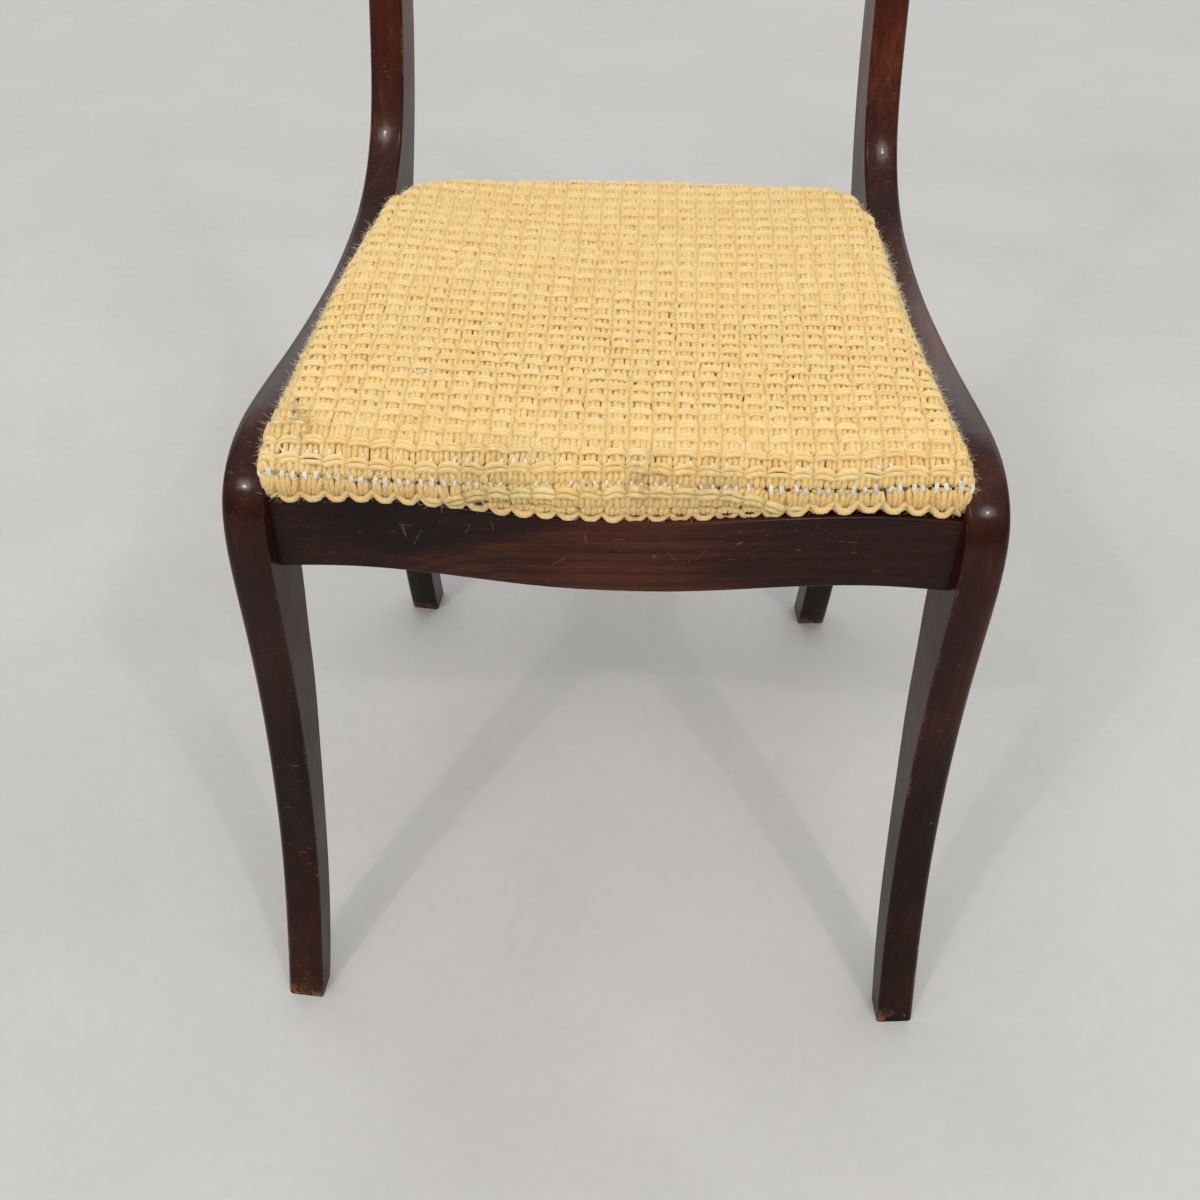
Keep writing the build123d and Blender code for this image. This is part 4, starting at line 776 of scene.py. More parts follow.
def fans(j, d, shift):
    """The short strands under each bar, spreading around the warp threads."""
    xl, xr = SHORT if j == 0 else reach(j, 4.0, 2.0 if j == 1 else 0.5 if rows[j] < 400 else 3.0)
    xc = (BLOCKS - shift) * COL
    xc = xc[(xc > xl - 0.55 * COL) & (xc < xr + 0.55 * COL)]
    edge = np.interp(xc, x_probe, front_end) + 6.0
    at_edge = np.full(len(xc), j == 0) | ((j == 1) & ~short_row(xc))
    ahead = np.where(at_edge, edge, np.maximum(rows[max(j - 1, 0)] + sway(xc, max(j - 1, 0)), edge))
    gap = d + sway(xc, j) - ahead
    keep = gap > 4.5
    xc, gap, at_edge = xc[keep], gap[keep], at_edge[keep]
    m = len(xc)
    if not m:
        return
    big = float(np.clip(PITCH[j] / 12.0, 0.94, 1.18))
    apart = at_edge | (j <= 1)                                  # rows drawn apart, along the front
    # how wide the weave gapes between the fans
    gape = np.interp(xc, [-200, -100, -60, 0, 50, 100, 200], [1.5, 1.3, 0.1, -0.2, 0.2, 1.6, 2.6]) if j == 1 else np.full(m, -0.4)
    drop = np.minimum(8.3 - 0.5 * gape + lively(m, 0.25), gap - 3.2)
    length = np.where(apart, drop, np.clip(gap - 1.9, 3.0, 14.0))
    t = np.linspace(0, 1, 6)
    lean, shove = lively(m, 0.30), lively(m, 0.26)
    close = np.where((rng.random(m) < 0.5) & (j > 2), 0.70, 1.0)
    inside = lambda xs: np.clip(xs, xl + 1.0, xr - 1.0)
    for top, low, fat, high in ((-4.90, -5.62, 1.98, 1.45), (-1.62, -1.86, 1.98, 1.78), (1.62, 1.86, 1.98, 1.78), (4.90, 5.62, 1.98, 1.45)):
        j1, j2, j3 = lively(m, 0.26), lively(m, 0.36), lively(m, 0.20)
        pinch, swell = (close, 1.14 - 0.14 * (close > 0.9)) if abs(top) < 3 else (np.ones(m), 1 + 0.09 * (close < 0.9))
        xs = inside(xc[:, None] + (top * pinch + shove + j1)[:, None] * (1 - t) + (low * pinch + lean + j2)[:, None] * t)
        eta = 1.0 + (length - 1.0 + lively(m, 0.35))[:, None] * t
        zz = high * np.interp(t, [0, 0.2, 0.5, 0.8, 1], [0.60, 0.90, 1.0, 0.88, 0.45])[None, :] + j3[:, None]
        p, nn = lay(xs, d + sway(xs, j) - eta, zz)
        # in shade right under the bar
        tone = np.clip(np.interp(t, [0, 0.25, 0.5, 1], [0.30, 0.42, 0.56, 0.50])[None, :] + lively(m, 0.10)[:, None], 0, 1)
        zone_of(d).add(p, nn, (big * fat * np.interp(t, [0, 0.15, 0.8, 1], [0.95, 1.02, 0.98, 0.74]))[None, :] * (swell * (1 + lively(m, 0.08)))[:, None],
                       sides=6, tone=tone, start=rng.uniform(0, 40, m))
    corner = (np.abs(xc) > 165) & (j <= 4)
    if corner.any():
        # strands that close the weave round the front corners; their dark tone is painted shade
        xf = xc[corner]
        for side in (-6.9, 6.9):
            xs = inside(xf[:, None] + side + 0 * t)
            p, nn = lay(xs, d + sway(xs, j) - 0.5 - (length[corner] + 0.6)[:, None] * t, 0.9 + 0 * xs)
            zone_of(d).add(p, nn, 1.7, sides=6, tone=0.34, start=rng.uniform(0, 40, len(xf)))
    for side in (-3.0, 3.0):
        slit_x.append(xc + side + lively(m, 0.40)); slit_d.append(d + sway(xc + side, j) - np.where(apart, 8.4, np.minimum(7.6, gap - 3.4)) + lively(m, 0.25))
        slit_n.append(np.full(m, j))
    far = (at_edge & (gap > 7.5)) | (apart & (gap > 12.4))
    if far.any():
        # the loops of the next row stand up towards this one, spreading like a shell
        xc, gap, rise, edge = xc[far], gap[far], np.minimum(8.3 + 0.5 * gape, gap - 1.2)[far], at_edge[far]
        m = len(xc)
        t = np.linspace(0, 1, 5)
        twist = lively(m, 0.9)
        for top, low in ((-5.6, -3.3), (-2.0, -1.0), (2.0, 1.0), (5.6, 3.3)):
            xs = inside(xc[:, None] + (top + twist + lively(m, 0.45))[:, None] * (1 - t) ** 0.8 + (low + lively(m, 0.40))[:, None] * (1 - (1 - t) ** 0.8))
            eta = (rise + 0.08 * abs(top) + lively(m, 0.25))[:, None] * (1 - t) + (gap + np.where(edge, 0.2, 0.4))[:, None] * t
            zz = np.interp(t, [0, 0.25, 0.7, 1], [1.0, 1.75, 1.9, 1.3])[None, :] + lively(m, 0.14)[:, None]
            p, nn = lay(xs, d + sway(xs, j) - eta, zz)
            # painted shade: the loops darken towards their far end, where they pass under the row ahead
            tone = np.clip(np.interp(t, [0, 0.4, 1], [0.54, 0.50, 0.32])[None, :] + lively(m, 0.10)[:, None], 0, 1)
            zone_of(d).add(p, nn, (1 + lively(m, 0.06))[:, None] * 1.98 * np.interp(t, [0, 0.3, 1], [0.86, 1, 0.90])[None, :] * np.ones((m, 1)), sides=6, tone=tone,
                           start=rng.uniform(0, 40, m))
        # a low strand behind the gape, so that it shows as single holes between the blocks; its darker tone is painted
        # shade
        ends = np.linspace(-1, 1, 6)
        xs = inside(xc[:, None] + (5.6 + lively(m, 0.6))[:, None] * ends)
        p, nn = lay(xs, d + sway(xs, j) - (rise - 0.2 + lively(m, 0.2))[:, None] + 0 * xs, 1.25 - 0.35 * np.abs(ends)[None, :] ** 3 + 0 * xs)
        zone_of(d).add(p, nn, 1.45, sides=6, tone=0.40, start=rng.uniform(0, 40, m))
        # yarn behind, which closes the gaps between the shells, with the darkest tone as painted shade
        for side in (-6.9, 6.9):
            xs = inside(xc[:, None] + side + 0 * t)
            p, nn = lay(xs, d + sway(xs, j) - ((rise + 1.2)[:, None] * (1 - t) + (gap + 2.0)[:, None] * t), 0.9 + 0 * xs)
            zone_of(d).add(p, nn, 1.6, sides=6, tone=0.26, start=rng.uniform(0, 40, m))


shifts = 0.05 * rng.normal(0, 1, len(rows)).clip(-1.5, 1.5)
for j, d in enumerate(rows):
    bars(j, d, shifts[j])
    fans(j, d, shifts[j])


def border():
    """The front edge: loops that sag from block to block, two strands deep."""
    x = np.linspace(-204, 204, 30 * 9)
    end = edge_line(x)
    thin = 0.45 + 0.55 * smoothstep(0, 7, 204 - np.abs(x))
    xi = x / COL - np.floor(x / COL + 0.5)
    prof = 1 - smoothstep(0.12, 0.5, np.abs(xi))
    cell = np.floor(x / COL + 0.5).astype(int)
    cells = cell - cell.min()
    k = cells.max() + 1
    sag, fat = 3.5 + lively(k, 0.8)[cells], 1 + lively(k, 0.10)[cells]
    for back, zeta, rad in ((5.3, 3.6, 2.30), (2.5, 2.2, 2.1)):
        # towards the corners the edge rolls under more steeply, and the loops lie higher on it
        lift = smoothstep(80, 130, np.abs(x))
        p, nn = lay(x, end + back + 2.8 * lift - sag * prof, 1.0 + 0.6 * lift + (zeta - 1.0) * prof)
        # painted shade: the tone is lighter in the middle of each loop and darker where the loops sag between the
        # blocks
        zones[0].add(p[None], nn[None], (rad * fat * thin * (0.82 + 0.18 * prof))[None], sides=8, tone=(0.50 + 0.22 * prof)[None])
    # the back edge: a cord of two strands
    x = np.linspace(-172, 172, 230)
    lo, hi = np.full_like(x, 380.0), np.full_like(x, 520.0)
    for _ in range(40):
        mid = 0.5 * (lo + hi)
        r = roll(x, mid)
        beyond = r["e"] > r["end"]
        lo, hi = np.where(beyond, lo, mid), np.where(beyond, mid, hi)
    thin = 0.45 + 0.55 * smoothstep(0, 7, 172 - np.abs(x))
    for back, zeta, rad in ((1.8, 1.9, 2.0), (5.0, 2.5, 2.0)):
        p, nn = lay(x, lo - back + 0.5 * np.sin(x / 4.4 + back), zeta + 0.35 * np.sin(x / 2.2))
        zones[3].add(p[None], nn[None], (rad * thin)[None], sides=8, tone=0.55)


def sides_down():
    """The rows' ends, drawn down the seat frame's sides to its lower edge."""
    for side in (-1, 1):
        d = np.arange(84.0, 398.0, 3.3)
        m = len(d)
        d = d + lively(m, 0.25)
        z0 = np.minimum(np.interp(d, RAIL_S, RAIL_Z) + 4.2, 456.0)
        t = np.linspace(0, 1, 8)
        # over the rail's inner arris, then down inside the opening
        off = np.interp(t, [0, 0.18, 0.32, 1], [2.5, -1.6, -3.55, -3.6])
        fall = np.interp(t, [0, 0.18, 0.32, 1], [0.0, 0.0, 0.12, 1.0])
        x = side * (inner_x(d)[:, None] + off[None, :] / CA)
        z = z0[:, None] - fall[None, :] * (z0 - 430.4)[:, None]
        path = np.stack([x, d[:, None] + Y_TOE + 0 * x, z], -1)
        nrm = np.broadcast_to(np.array([side * 0.9, 0.0, 0.45]), path.shape)
        for zone, (lo, hi) in zip(zones, ZONES):
            pick = (d >= lo) & (d < hi)
            if pick.any():
                zone.add(path[pick], nrm[pick], 1.5, sides=6, tone=(0.42 + lively(int(pick.sum()), 0.10))[:, None], start=rng.uniform(0, 40, int(pick.sum())))


border()
sides_down()

# white warp threads, front to back, two to each block
for k in BLOCKS:
    for off in (-3.4, 3.4):
        x0 = k * COL + off
        if abs(x0) > 243:
            continue
        d = np.arange(30.0, 472.0, 3.4)
        x = x0 + 0.25 * np.sin(d / 5.1 + k * 1.7 + off)
        r = roll(x, d)
        ok = r["e"] < r["end"] - 1.5
        if ok.sum() < 6:
            continue
        first, last = np.argmax(ok), len(ok) - np.argmax(ok[::-1])
        d, x = d[first:last], x[first:last]
        p, nn = lay(x, d, 0.75 + 0.2 * np.sin(d / 3.7 + k))
        side = np.cross(unit(np.gradient(p, axis=0)), nn)
        for ply in (-0.45, 0.45):
            wobble = ply * np.cos(2 * math.pi * d / 5.0 + k)[:, None]
            warp.add((p + side * wobble)[None], nn[None], 0.7, sides=4, tone=0.5)

# where rows are drawn apart, the warp bulges up between the strands: three loose plies each
slit_x, slit_d, slit_n = map(np.concatenate, (slit_x, slit_d, slit_n))
near = np.interp(slit_x, [-200, 0, 200], [1.0, 0.8, 0.55])                 # the weave is drawn further apart at the left
middle = 1 - smoothstep(55, 105, np.abs(slit_x))                            # and hardly at all in the middle of the front
show = np.interp(slit_n, [0, 1, 2, 3, 4, 5, 9, 15, 33], [0.50, 0.97, 0.85, 0.75, 0.6, 0.4, 0.16, 0.08, 0.03]) * np.where(slit_n < 2, 1 - 0.5 * middle, near)
long = np.interp(slit_n, [0, 1, 2, 3, 4, 5, 33], [2.8, 3.6, 2.6, 1.9, 1.4, 1.1, 0.8]) * np.where(slit_n < 2, 1 - 0.42 * middle, 0.5 + 0.5 * near)
wide = np.interp(slit_n, [0, 1, 2, 3, 4, 5, 33], [0.60, 0.78, 0.60, 0.50, 0.42, 0.38, 0.32]) * np.where(slit_n < 2, 1 - 0.25 * middle, 1)
high = np.interp(slit_n, [0, 1, 2, 3, 4, 33], [2.9, 3.1, 3.0, 2.9, 2.9, 2.9])
r = roll(slit_x, slit_d)
keep = (rng.random(len(slit_x)) < show) & (r["e"] < r["end"] - 2.0)
slit_x, slit_d, long, wide, high = (v[keep] for v in (slit_x, slit_d, long, wide, high))
t = np.linspace(-1, 1, 6)
lean, uneven = lively(len(slit_x), 0.45), 1 + lively(len(slit_x), 0.16)
for ply in (-1, 0, 1):
    xs = slit_x[:, None] + ply * wide[:, None] * (1.0 + 0.12 * t ** 2) + lean[:, None] * t
    ds = slit_d[:, None] - (long * uneven)[:, None] * t * (1 + lively(len(slit_x), 0.10)[:, None])
    zz = high[:, None] - (high[:, None] - 0.6) * np.abs(t) ** 3 + 0.15 * (ply == 0)
    p, nn = lay(xs, ds, zz)
    warp.add(p, nn, wide[:, None] * np.interp(np.abs(t), [0, 0.6, 1], [0.80, 0.76, 0.55])[None, :], sides=6, tone=0.5)

# short ends of warp crossing between blocks
tick_x, tick_d = [], []
for j in range(2, len(rows) - 4):
    d = rows[j]
    xl, xr = reach(j)
    for k in BLOCKS:
        at = (k + 0.5) * COL
        if rng.random() < 0.22 and xl + 12 < at < xr - 12:
            tick_x.append(at + rng.normal(0, 0.5))
            tick_d.append(d + sway(at, j) + rng.normal(0, 0.5))
tick_x, tick_d = np.array(tick_x), np.array(tick_d)
t = np.linspace(-1, 1, 5)
p, nn = lay(tick_x[:, None] + 1.7 * t, tick_d[:, None] + 0 * t, 2.25 - 0.9 * t * t)
warp.add(p, nn, 0.6, sides=4, tone=0.5)


# one loose end of white thread
loose = curve_by_length([(-128.1, 154.2), (-125.6, 149.7), (-123.4, 152.4), (-122.3, 148.5)], 14)
p, nn = lay(loose[:, 0], loose[:, 1], 5.3 + 0.3 * np.sin(np.arange(14) * 0.9))
warp.add(p[None], nn[None], 0.62, sides=5, tone=0.5)


# fibres that stand off the yarn: a dense short fuzz along the side edges, a thin one on top
def grow(f, x, d, ln, zz, thick, k):
    p0, n0 = lay(x, d, zz)
    m = len(x)
    t = np.linspace(0, 1, k)
    flat = rng.normal(0, 1, (m, 3))
    flat -= (flat * n0).sum(1, keepdims=True) * n0
    dirn = unit(n0 * rng.uniform(0.15, 1.0, m)[:, None] + unit(flat) * rng.uniform(0.4, 1.3, m)[:, None])
    bend = unit(np.cross(dirn, rng.normal(0, 1, (m, 3)))) * rng.uniform(-0.9, 0.9, m)[:, None]
    path = p0[:, None] + dirn[:, None] * (ln[:, None] * t)[..., None] + bend[:, None] * (ln[:, None] * t ** 2)[..., None]
    ref = unit(np.cross(dirn, bend + 1e-4))[:, None] * np.ones((1, k, 1))
    f.add(path, ref, thick * np.interp(t, [0, 0.7, 1], [1, 0.85, 0.4])[None, :], sides=3, tone=rng.uniform(0.3, 0.9, m)[:, None] * np.ones(k))


def edge_fibres(side):
    f = Strands()
    n = 8600
    tufts = rng.uniform(78, 428, 60)
    strong = rng.uniform(0.3, 1.0, 60)
    in_tuft = rng.random(n) < 0.30
    pick = rng.integers(0, 60, n)
    d = np.where(in_tuft, tufts[pick] + rng.normal(0, 3.0, n), rng.uniform(74, 430, n))
    lim = inner_x(d) + overhang(side * 100.0, d)
    grow(f, side * (lim + rng.uniform(-8, 13, n)), d, (rng.gamma(2.8, 0.86, n) * np.where(in_tuft, 0.8 + 0.8 * strong[pick], 0.95)).clip(1.0, 6.5),
         rng.uniform(1.5, 4.0, n), 0.075, 4)
    return f


def top_fibres():
    f = Strands()
    n = 2200
    x = rng.uniform(-205, 205, n)
    grow(f, x, np.interp(x, x_probe, front_end) + rng.uniform(1.0, 18, n), rng.gamma(2.6, 0.7, n).clip(0.8, 5), rng.uniform(1.5, 4.0, n), 0.08, 4)
    x, d = rng.uniform(-210, 210, 12000), rng.uniform(80, 436, 12000)
    keep = outside(x, d) < -5
    x, d = x[keep][:9000], d[keep][:9000]
    grow(f, x, d, rng.gamma(2.4, 0.62, len(x)).clip(0.7, 4), rng.uniform(3.2, 4.4, len(x)), 0.07, 3)
    return f


def yarn_material():
    y = Mat("yarn_gold")
    uv = y.node("ShaderNodeUVMap", uv_map="strand").outputs[0]
    sep = y.node("ShaderNodeSeparateXYZ", {0: uv}).outputs
    # loosely spun: fibres along the strand, a hint of three plies turning once in 11 mm
    phase = y.math("ADD", y.math("MULTIPLY", sep[0], 2 * math.pi / 11.0 * 3), y.math("MULTIPLY", sep[1], 2 * math.pi * 3))
    groove = y.math("MULTIPLY_ADD", y.math("SINE", phase), 0.5, 0.5)
    # the tone attribute holds a random tone per strand and painted shade: strands lying low, behind or right under a
    # bar carry a lower tone, which the ramp turns orange-brown
    tone = y.node("ShaderNodeAttribute", attribute_name="tone").outputs["Fac"]
    fibre = y.noise(y.mapping((0.30, 11.0, 1.0), vec=uv), 1.0, 4.0, 0.65, 0.8)
    felt = y.noise(y.coord, 900.0, 3.0, 0.6)
    patch = y.noise(y.coord, 26.0, 3.0, 0.5)
    level = y.math("MULTIPLY_ADD", groove, 0.12, y.math("MULTIPLY_ADD", felt, 0.26, y.math("MULTIPLY_ADD", fibre, 0.56, y.math("MULTIPLY", tone, 0.50))))
    level = y.math("SUBTRACT", level, 0.10)
    colour = y.ramp(level, [(0.26, (0.42, 0.205, 0.045)), (0.55, (0.82, 0.525, 0.184)), (0.86, (0.91, 0.690, 0.330))])
    colour = y.mix(y.span(patch, 0.40, 0.75, 0.0, 0.25), colour, (0.86, 0.65, 0.32))
    # faint stains near the front
    stain = None
    for (sx, sd, sr, amount) in ((-0.196, 0.110, 0.013, 0.75), (-0.188, 0.098, 0.009, 0.6), (0.018, 0.068, 0.014, 0.55), (-0.075, 0.062, 0.035, 0.28), (0.055, 0.060, 0.02, 0.32)):
        off = y.node("ShaderNodeVectorMath", {0: y.coord, 1: (sx, -0.287 + sd, 0.452)}, operation="DISTANCE").outputs["Value"]
        spot = y.span(y.math("MULTIPLY_ADD", felt, 0.004, off), sr * 0.35, sr + 0.012, amount, 0.0)
        stain = spot if stain is None else y.math("MAXIMUM", stain, spot)
    stain = y.math("MULTIPLY", stain, y.span(y.noise(y.coord, 210.0, 3.0, 0.6), 0.35, 0.62))
    colour = y.mix(stain, colour, (0.22, 0.15, 0.085))
    relief = y.math("MULTIPLY_ADD", groove, 0.45, y.math("MULTIPLY_ADD", fibre, 1.1, y.math("MULTIPLY", felt, 0.8)))
    y.set(Base_Color=colour, Normal=y.bump(relief, 0.0005, 0.8))
    y.bsdf.inputs["Roughness"].default_value = 0.88
    y.bsdf.inputs["Specular IOR Level"].default_value = 0.22
    y.bsdf.inputs["Sheen Weight"].default_value = 0.22
    y.bsdf.inputs["Sheen Roughness"].default_value = 0.5
    y.bsdf.inputs["Subsurface Weight"].default_value = 0.40
    y.bsdf.inputs["Subsurface Radius"].default_value = (1.0, 0.75, 0.42)
    y.bsdf.inputs["Subsurface Scale"].default_value = 0.0018
    return y.m


def thread_material(name, dark, light, scale=700.0):
    y = Mat(name)
    n = y.noise(y.coord, scale, 3.0, 0.6)
    patch = y.noise(y.coord, 40.0, 2.0, 0.5)
    y.set(Base_Color=y.mix(y.span(y.math("MULTIPLY_ADD", patch, 0.5, n), 0.45, 1.0), dark, light), Normal=y.bump(n, 0.0003, 0.6))
    y.bsdf.inputs["Roughness"].default_value = 0.85
    y.bsdf.inputs["Specular IOR Level"].default_value = 0.25
    return y.m


yarn = yarn_material()
yarn_pieces = []
for s, label in zip(zones, ("front", "front_middle", "back_middle", "back")):
    yarn_pieces.append(s.make("cover_yarn_" + label, yarn))
warp_piece = warp.make("cover_warp_threads", thread_material("warp_white", (0.55, 0.50, 0.40), (0.88, 0.85, 0.77)))
fuzz = thread_material("fibre_gold", (0.72, 0.55, 0.25), (0.86, 0.74, 0.48))
# the side fibres are coloured paler than the top ones as painted light, so that they keep a lit look in the shade
# beside the rails
pale_fuzz = thread_material("fibre_pale", (0.84, 0.71, 0.42), (0.93, 0.86, 0.66))
fuzz_pieces = [edge_fibres(1).make("cover_fibres_right", pale_fuzz), edge_fibres(-1).make("cover_fibres_left", pale_fuzz),
               top_fibres().make("cover_fibres_top", fuzz)]
for ob in yarn_pieces + [warp_piece] + fuzz_pieces:
    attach(ob, "seat")
    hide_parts("seat_cover")


def rounded_form(name, sink, tuck, bottom, material, thin=None):
    """A crowned closed form under the cover: rings from the middle out, over the rolled edge and back underneath."""
    na, ni, nr = 240, 26, 16
    ang = np.linspace(0, 2 * math.pi, na, endpoint=False)
    c, s = np.cos(ang), np.sin(ang)
    lo, hi = np.full(na, 40.0), np.full(na, 330.0)
    for _ in range(48):
        mid = 0.5 * (lo + hi)
        start = roll(mid * c, 255 + mid * s)["e"] > 0
        lo, hi = np.where(start, lo, mid), np.where(start, mid, hi)
    r0 = 0.5 * (lo + hi)
    rings = []
    for tt in np.linspace(0.02, 1, ni):
        p, n = lay(r0 * tt * c, 255 + r0 * tt * s, -sink)
        rings.append(p)
    # beyond the start of the roll the cloth point moves outwards along the roll's own direction
    rr = roll(r0 * c, 255 + r0 * s)
    for tt in np.linspace(0, 1, nr + 1)[1:]:
        e = tt * (rr["end"] - tuck)
        p, n = lay(r0 * c + e * rr["gx"], 255 + r0 * s + e * rr["gd"], -sink)
        rings.append(p)
    centre, _ = lay(np.array([0.0]), np.array([255.0]), -sink)
    if thin is not None:
        # on down the seat frame's sides to its lower edge
        z_last = rings[-1][:, 2]
        for inset, share in ((0.3, 0.02), (3.4, 0.10), (3.4, 0.55), (3.4, 1.0)):
            lo, hi = np.full(na, 40.0), np.full(na, 330.0)
            for _ in range(48):
                mid = 0.5 * (lo + hi)
                beyond = seat_line(mid * c, 255 + mid * s, inset) > 0
                lo, hi = np.where(beyond, lo, mid), np.where(beyond, mid, hi)
            rings.append(np.stack([lo * c, 255 + lo * s + Y_TOE, z_last + (428.9 - z_last) * share], -1))
    if thin is None:
        last = rings[-1]
        mid = np.array([0, 255 + Y_TOE, 0])
        for k in (0.97, 0.80, 0.5, 0.2):
            q = mid + (last - mid) * k
            q[:, 2] = bottom if k < 0.97 else np.maximum(bottom, last[:, 2] - 2)
            rings.append(q)
        low = np.array([[0, 255 + Y_TOE, bottom]])
    v = np.concatenate(rings)
    nrings = len(rings)
    i, j = np.meshgrid(np.arange(nrings - 1), np.arange(na), indexing="ij")
    k = (j + 1) % na
    quads = np.stack([i * na + j, (i + 1) * na + j, (i + 1) * na + k, i * na + k], -1).reshape(-1, 4)
    v = np.concatenate([v, centre] + ([low] if thin is None else []))
    c_id = nrings * na
    extra = [np.array([c_id, a, (a + 1) % na]) for a in range(na)]
    if thin is None:
        b0 = (nrings - 1) * na
        extra += [np.array([c_id + 1, b0 + (a + 1) % na, b0 + a]) for a in range(na)]
    ob = mesh_object(name, v, quads, material, extra=extra)
    if thin:
        mod = ob.modifiers.new("cloth", "SOLIDIFY")
        mod.thickness, mod.offset = thin * MM, -1.0
    return ob


def cloth_material(name, dark, light, count, depth=0.0004):
    """Plain weave: threads over and under, count threads per metre."""
    y = Mat(name)
    sep = y.node("ShaderNodeSeparateXYZ", {0: y.coord}).outputs
    wob = y.noise(y.coord, 60.0, 2.0, 0.5)
    k = math.pi * count
    sx = y.math("SINE", y.math("MULTIPLY", y.math("MULTIPLY_ADD", wob, 0.004, sep[0]), k))
    sy = y.math("SINE", y.math("MULTIPLY", y.math("MULTIPLY_ADD", wob, 0.004, sep[1]), k))
    over = y.math("MULTIPLY", sx, sy)
    holes = y.math("MULTIPLY", y.math("ABSOLUTE", sx), y.math("ABSOLUTE", sy))
    felt = y.noise(y.coord, 1100.0, 3.0, 0.6)
    level = y.math("MULTIPLY_ADD", over, 0.16, y.math("MULTIPLY_ADD", felt, 0.35, y.math("MULTIPLY", holes, 0.5)))
    y.set(Base_Color=y.mix(y.span(level, 0.0, 0.8), dark, light), Normal=y.bump(level, depth, 0.9))
    y.bsdf.inputs["Roughness"].default_value = 0.9
    y.bsdf.inputs["Specular IOR Level"].default_value = 0.2
    return y.m


# the lining is coloured dark brown as painted shade: it stands for the shadowed yarn seen through the gaps of the weave
lining = rounded_form("seat_lining", 0.0, 2.5, 0.0, cloth_material("lining_painted_shade", (0.10, 0.055, 0.020), (0.26, 0.150, 0.060), 1100), thin=0.7)
pad = rounded_form("seat_stuffing", 1.6, 6.0, 446.9, thread_material("cotton_felt", (0.60, 0.55, 0.45), (0.86, 0.82, 0.73), 160.0))
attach(lining, "seat"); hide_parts("lining_cloth")
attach(pad, "seat"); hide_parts("seat_pad")

# ---------------------------------------------------------------------------
# under the seat: webbing and hessian
# ---------------------------------------------------------------------------
Y_FM, Y_BM = -167.8, 99.8
FRAME_IN = 4.2


def side_member_x(d):
    return inner_x(d) - (2.0 + FRAME_IN) / CA - 46.0


def strip_grid(x0, x1, y0, y1, z0, z1, nx, ny, rib_along):
    """One webbing strip as a closed slab with ribs across its length."""
    gx, gy = np.meshgrid(np.linspace(x0, x1, nx), np.linspace(y0, y1, ny), indexing="ij")
    length = gy if rib_along == "y" else gx
    across = (gx - x0) / (x1 - x0) if rib_along == "y" else (gy - y0) / (y1 - y0)
    rib = 0.16 * np.sin(length * 2 * math.pi / 2.6 + 5.0 * np.abs(across * 4 % 1 - 0.5)) - 0.25 * (np.abs(across - 0.5) > 0.485)
    top = np.stack([gx, gy, z1 - 0.18 + rib], -1).reshape(-1, 3)
    low = np.stack([gx, gy, z0 + 0.18 + rib * 0.9], -1).reshape(-1, 3)
    n = nx * ny
    idx = np.arange(n).reshape(nx, ny)
    a, b, c, d = idx[:-1, :-1].ravel(), idx[1:, :-1].ravel(), idx[1:, 1:].ravel(), idx[:-1, 1:].ravel()
    quads = [np.stack([a, b, c, d], -1), np.stack([a, d, c, b], -1) + n]
    loop = np.concatenate([idx[:, 0], idx[-1, 1:], idx[-2::-1, -1], idx[0, -2:0:-1]])
    nxt = np.roll(loop, -1)
    quads.append(np.stack([loop, loop + n, nxt + n, nxt], -1))
    return np.concatenate([top, low]), np.concatenate(quads)


def webbing_material(name, axis):
    y = Mat(name)
    sep = y.node("ShaderNodeSeparateXYZ", {0: y.coord}).outputs
    along, across = sep[axis], sep[1 - axis]
    felt = y.noise(y.coord, 800.0, 3.0, 0.6)
    twill = y.math("SINE", y.math("MULTIPLY", y.math("ADD", along, y.math("PINGPONG", across, 0.006)), 2 * math.pi / 0.0026))
    level = y.math("MULTIPLY_ADD", twill, 0.22, y.math("MULTIPLY_ADD", felt, 0.5, 0.3))
    colour = y.mix(y.span(level, 0.1, 0.9), (0.24, 0.155, 0.075), (0.58, 0.44, 0.26))
    stripe = y.span(y.math("PINGPONG", across, 0.0165), 0.0125, 0.0140)
    colour = y.mix(y.math("MULTIPLY", stripe, 0.55), colour, (0.10, 0.065, 0.035))
    y.set(Base_Color=colour, Normal=y.bump(level, 0.0005, 0.8))
    y.bsdf.inputs["Roughness"].default_value = 0.92
    return y.m


def webbing(name, strips, axis, node):
    vs, qs, n = [], [], 0
    for x0, x1, y0, y1, z0, z1 in strips:
        nx, ny = (14, int((y1 - y0) / 1.3)) if axis == "y" else (int((x1 - x0) / 1.3), 14)
        v, q = strip_grid(x0, x1, y0, y1, z0, z1, nx, ny, axis)
        vs.append(v); qs.append(q + n); n += len(v)
    ob = mesh_object(name, np.concatenate(vs), np.concatenate(qs), webbing_material("jute_" + axis, 1 if axis == "y" else 0))
    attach(ob, "seat"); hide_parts(node)


webbing("webbing_long", [(x - 25, x + 25, Y_FM - 30, Y_BM + 34, 442.0, 443.4) for x in (-99, -33, 33, 99)], "y", "webbing_front_to_back")
web_y = [Y_FM + 32 + i * (Y_BM - Y_FM - 64) / 3 for i in range(4)]
halves = [side_member_x(y + 30 - Y_TOE) + 46 - 14 for y in web_y]
webbing("webbing_cross", [(-h, h, y - 25, y + 25, 443.4, 444.8) for y, h in zip(web_y, halves)], "x", "webbing_side_to_side")


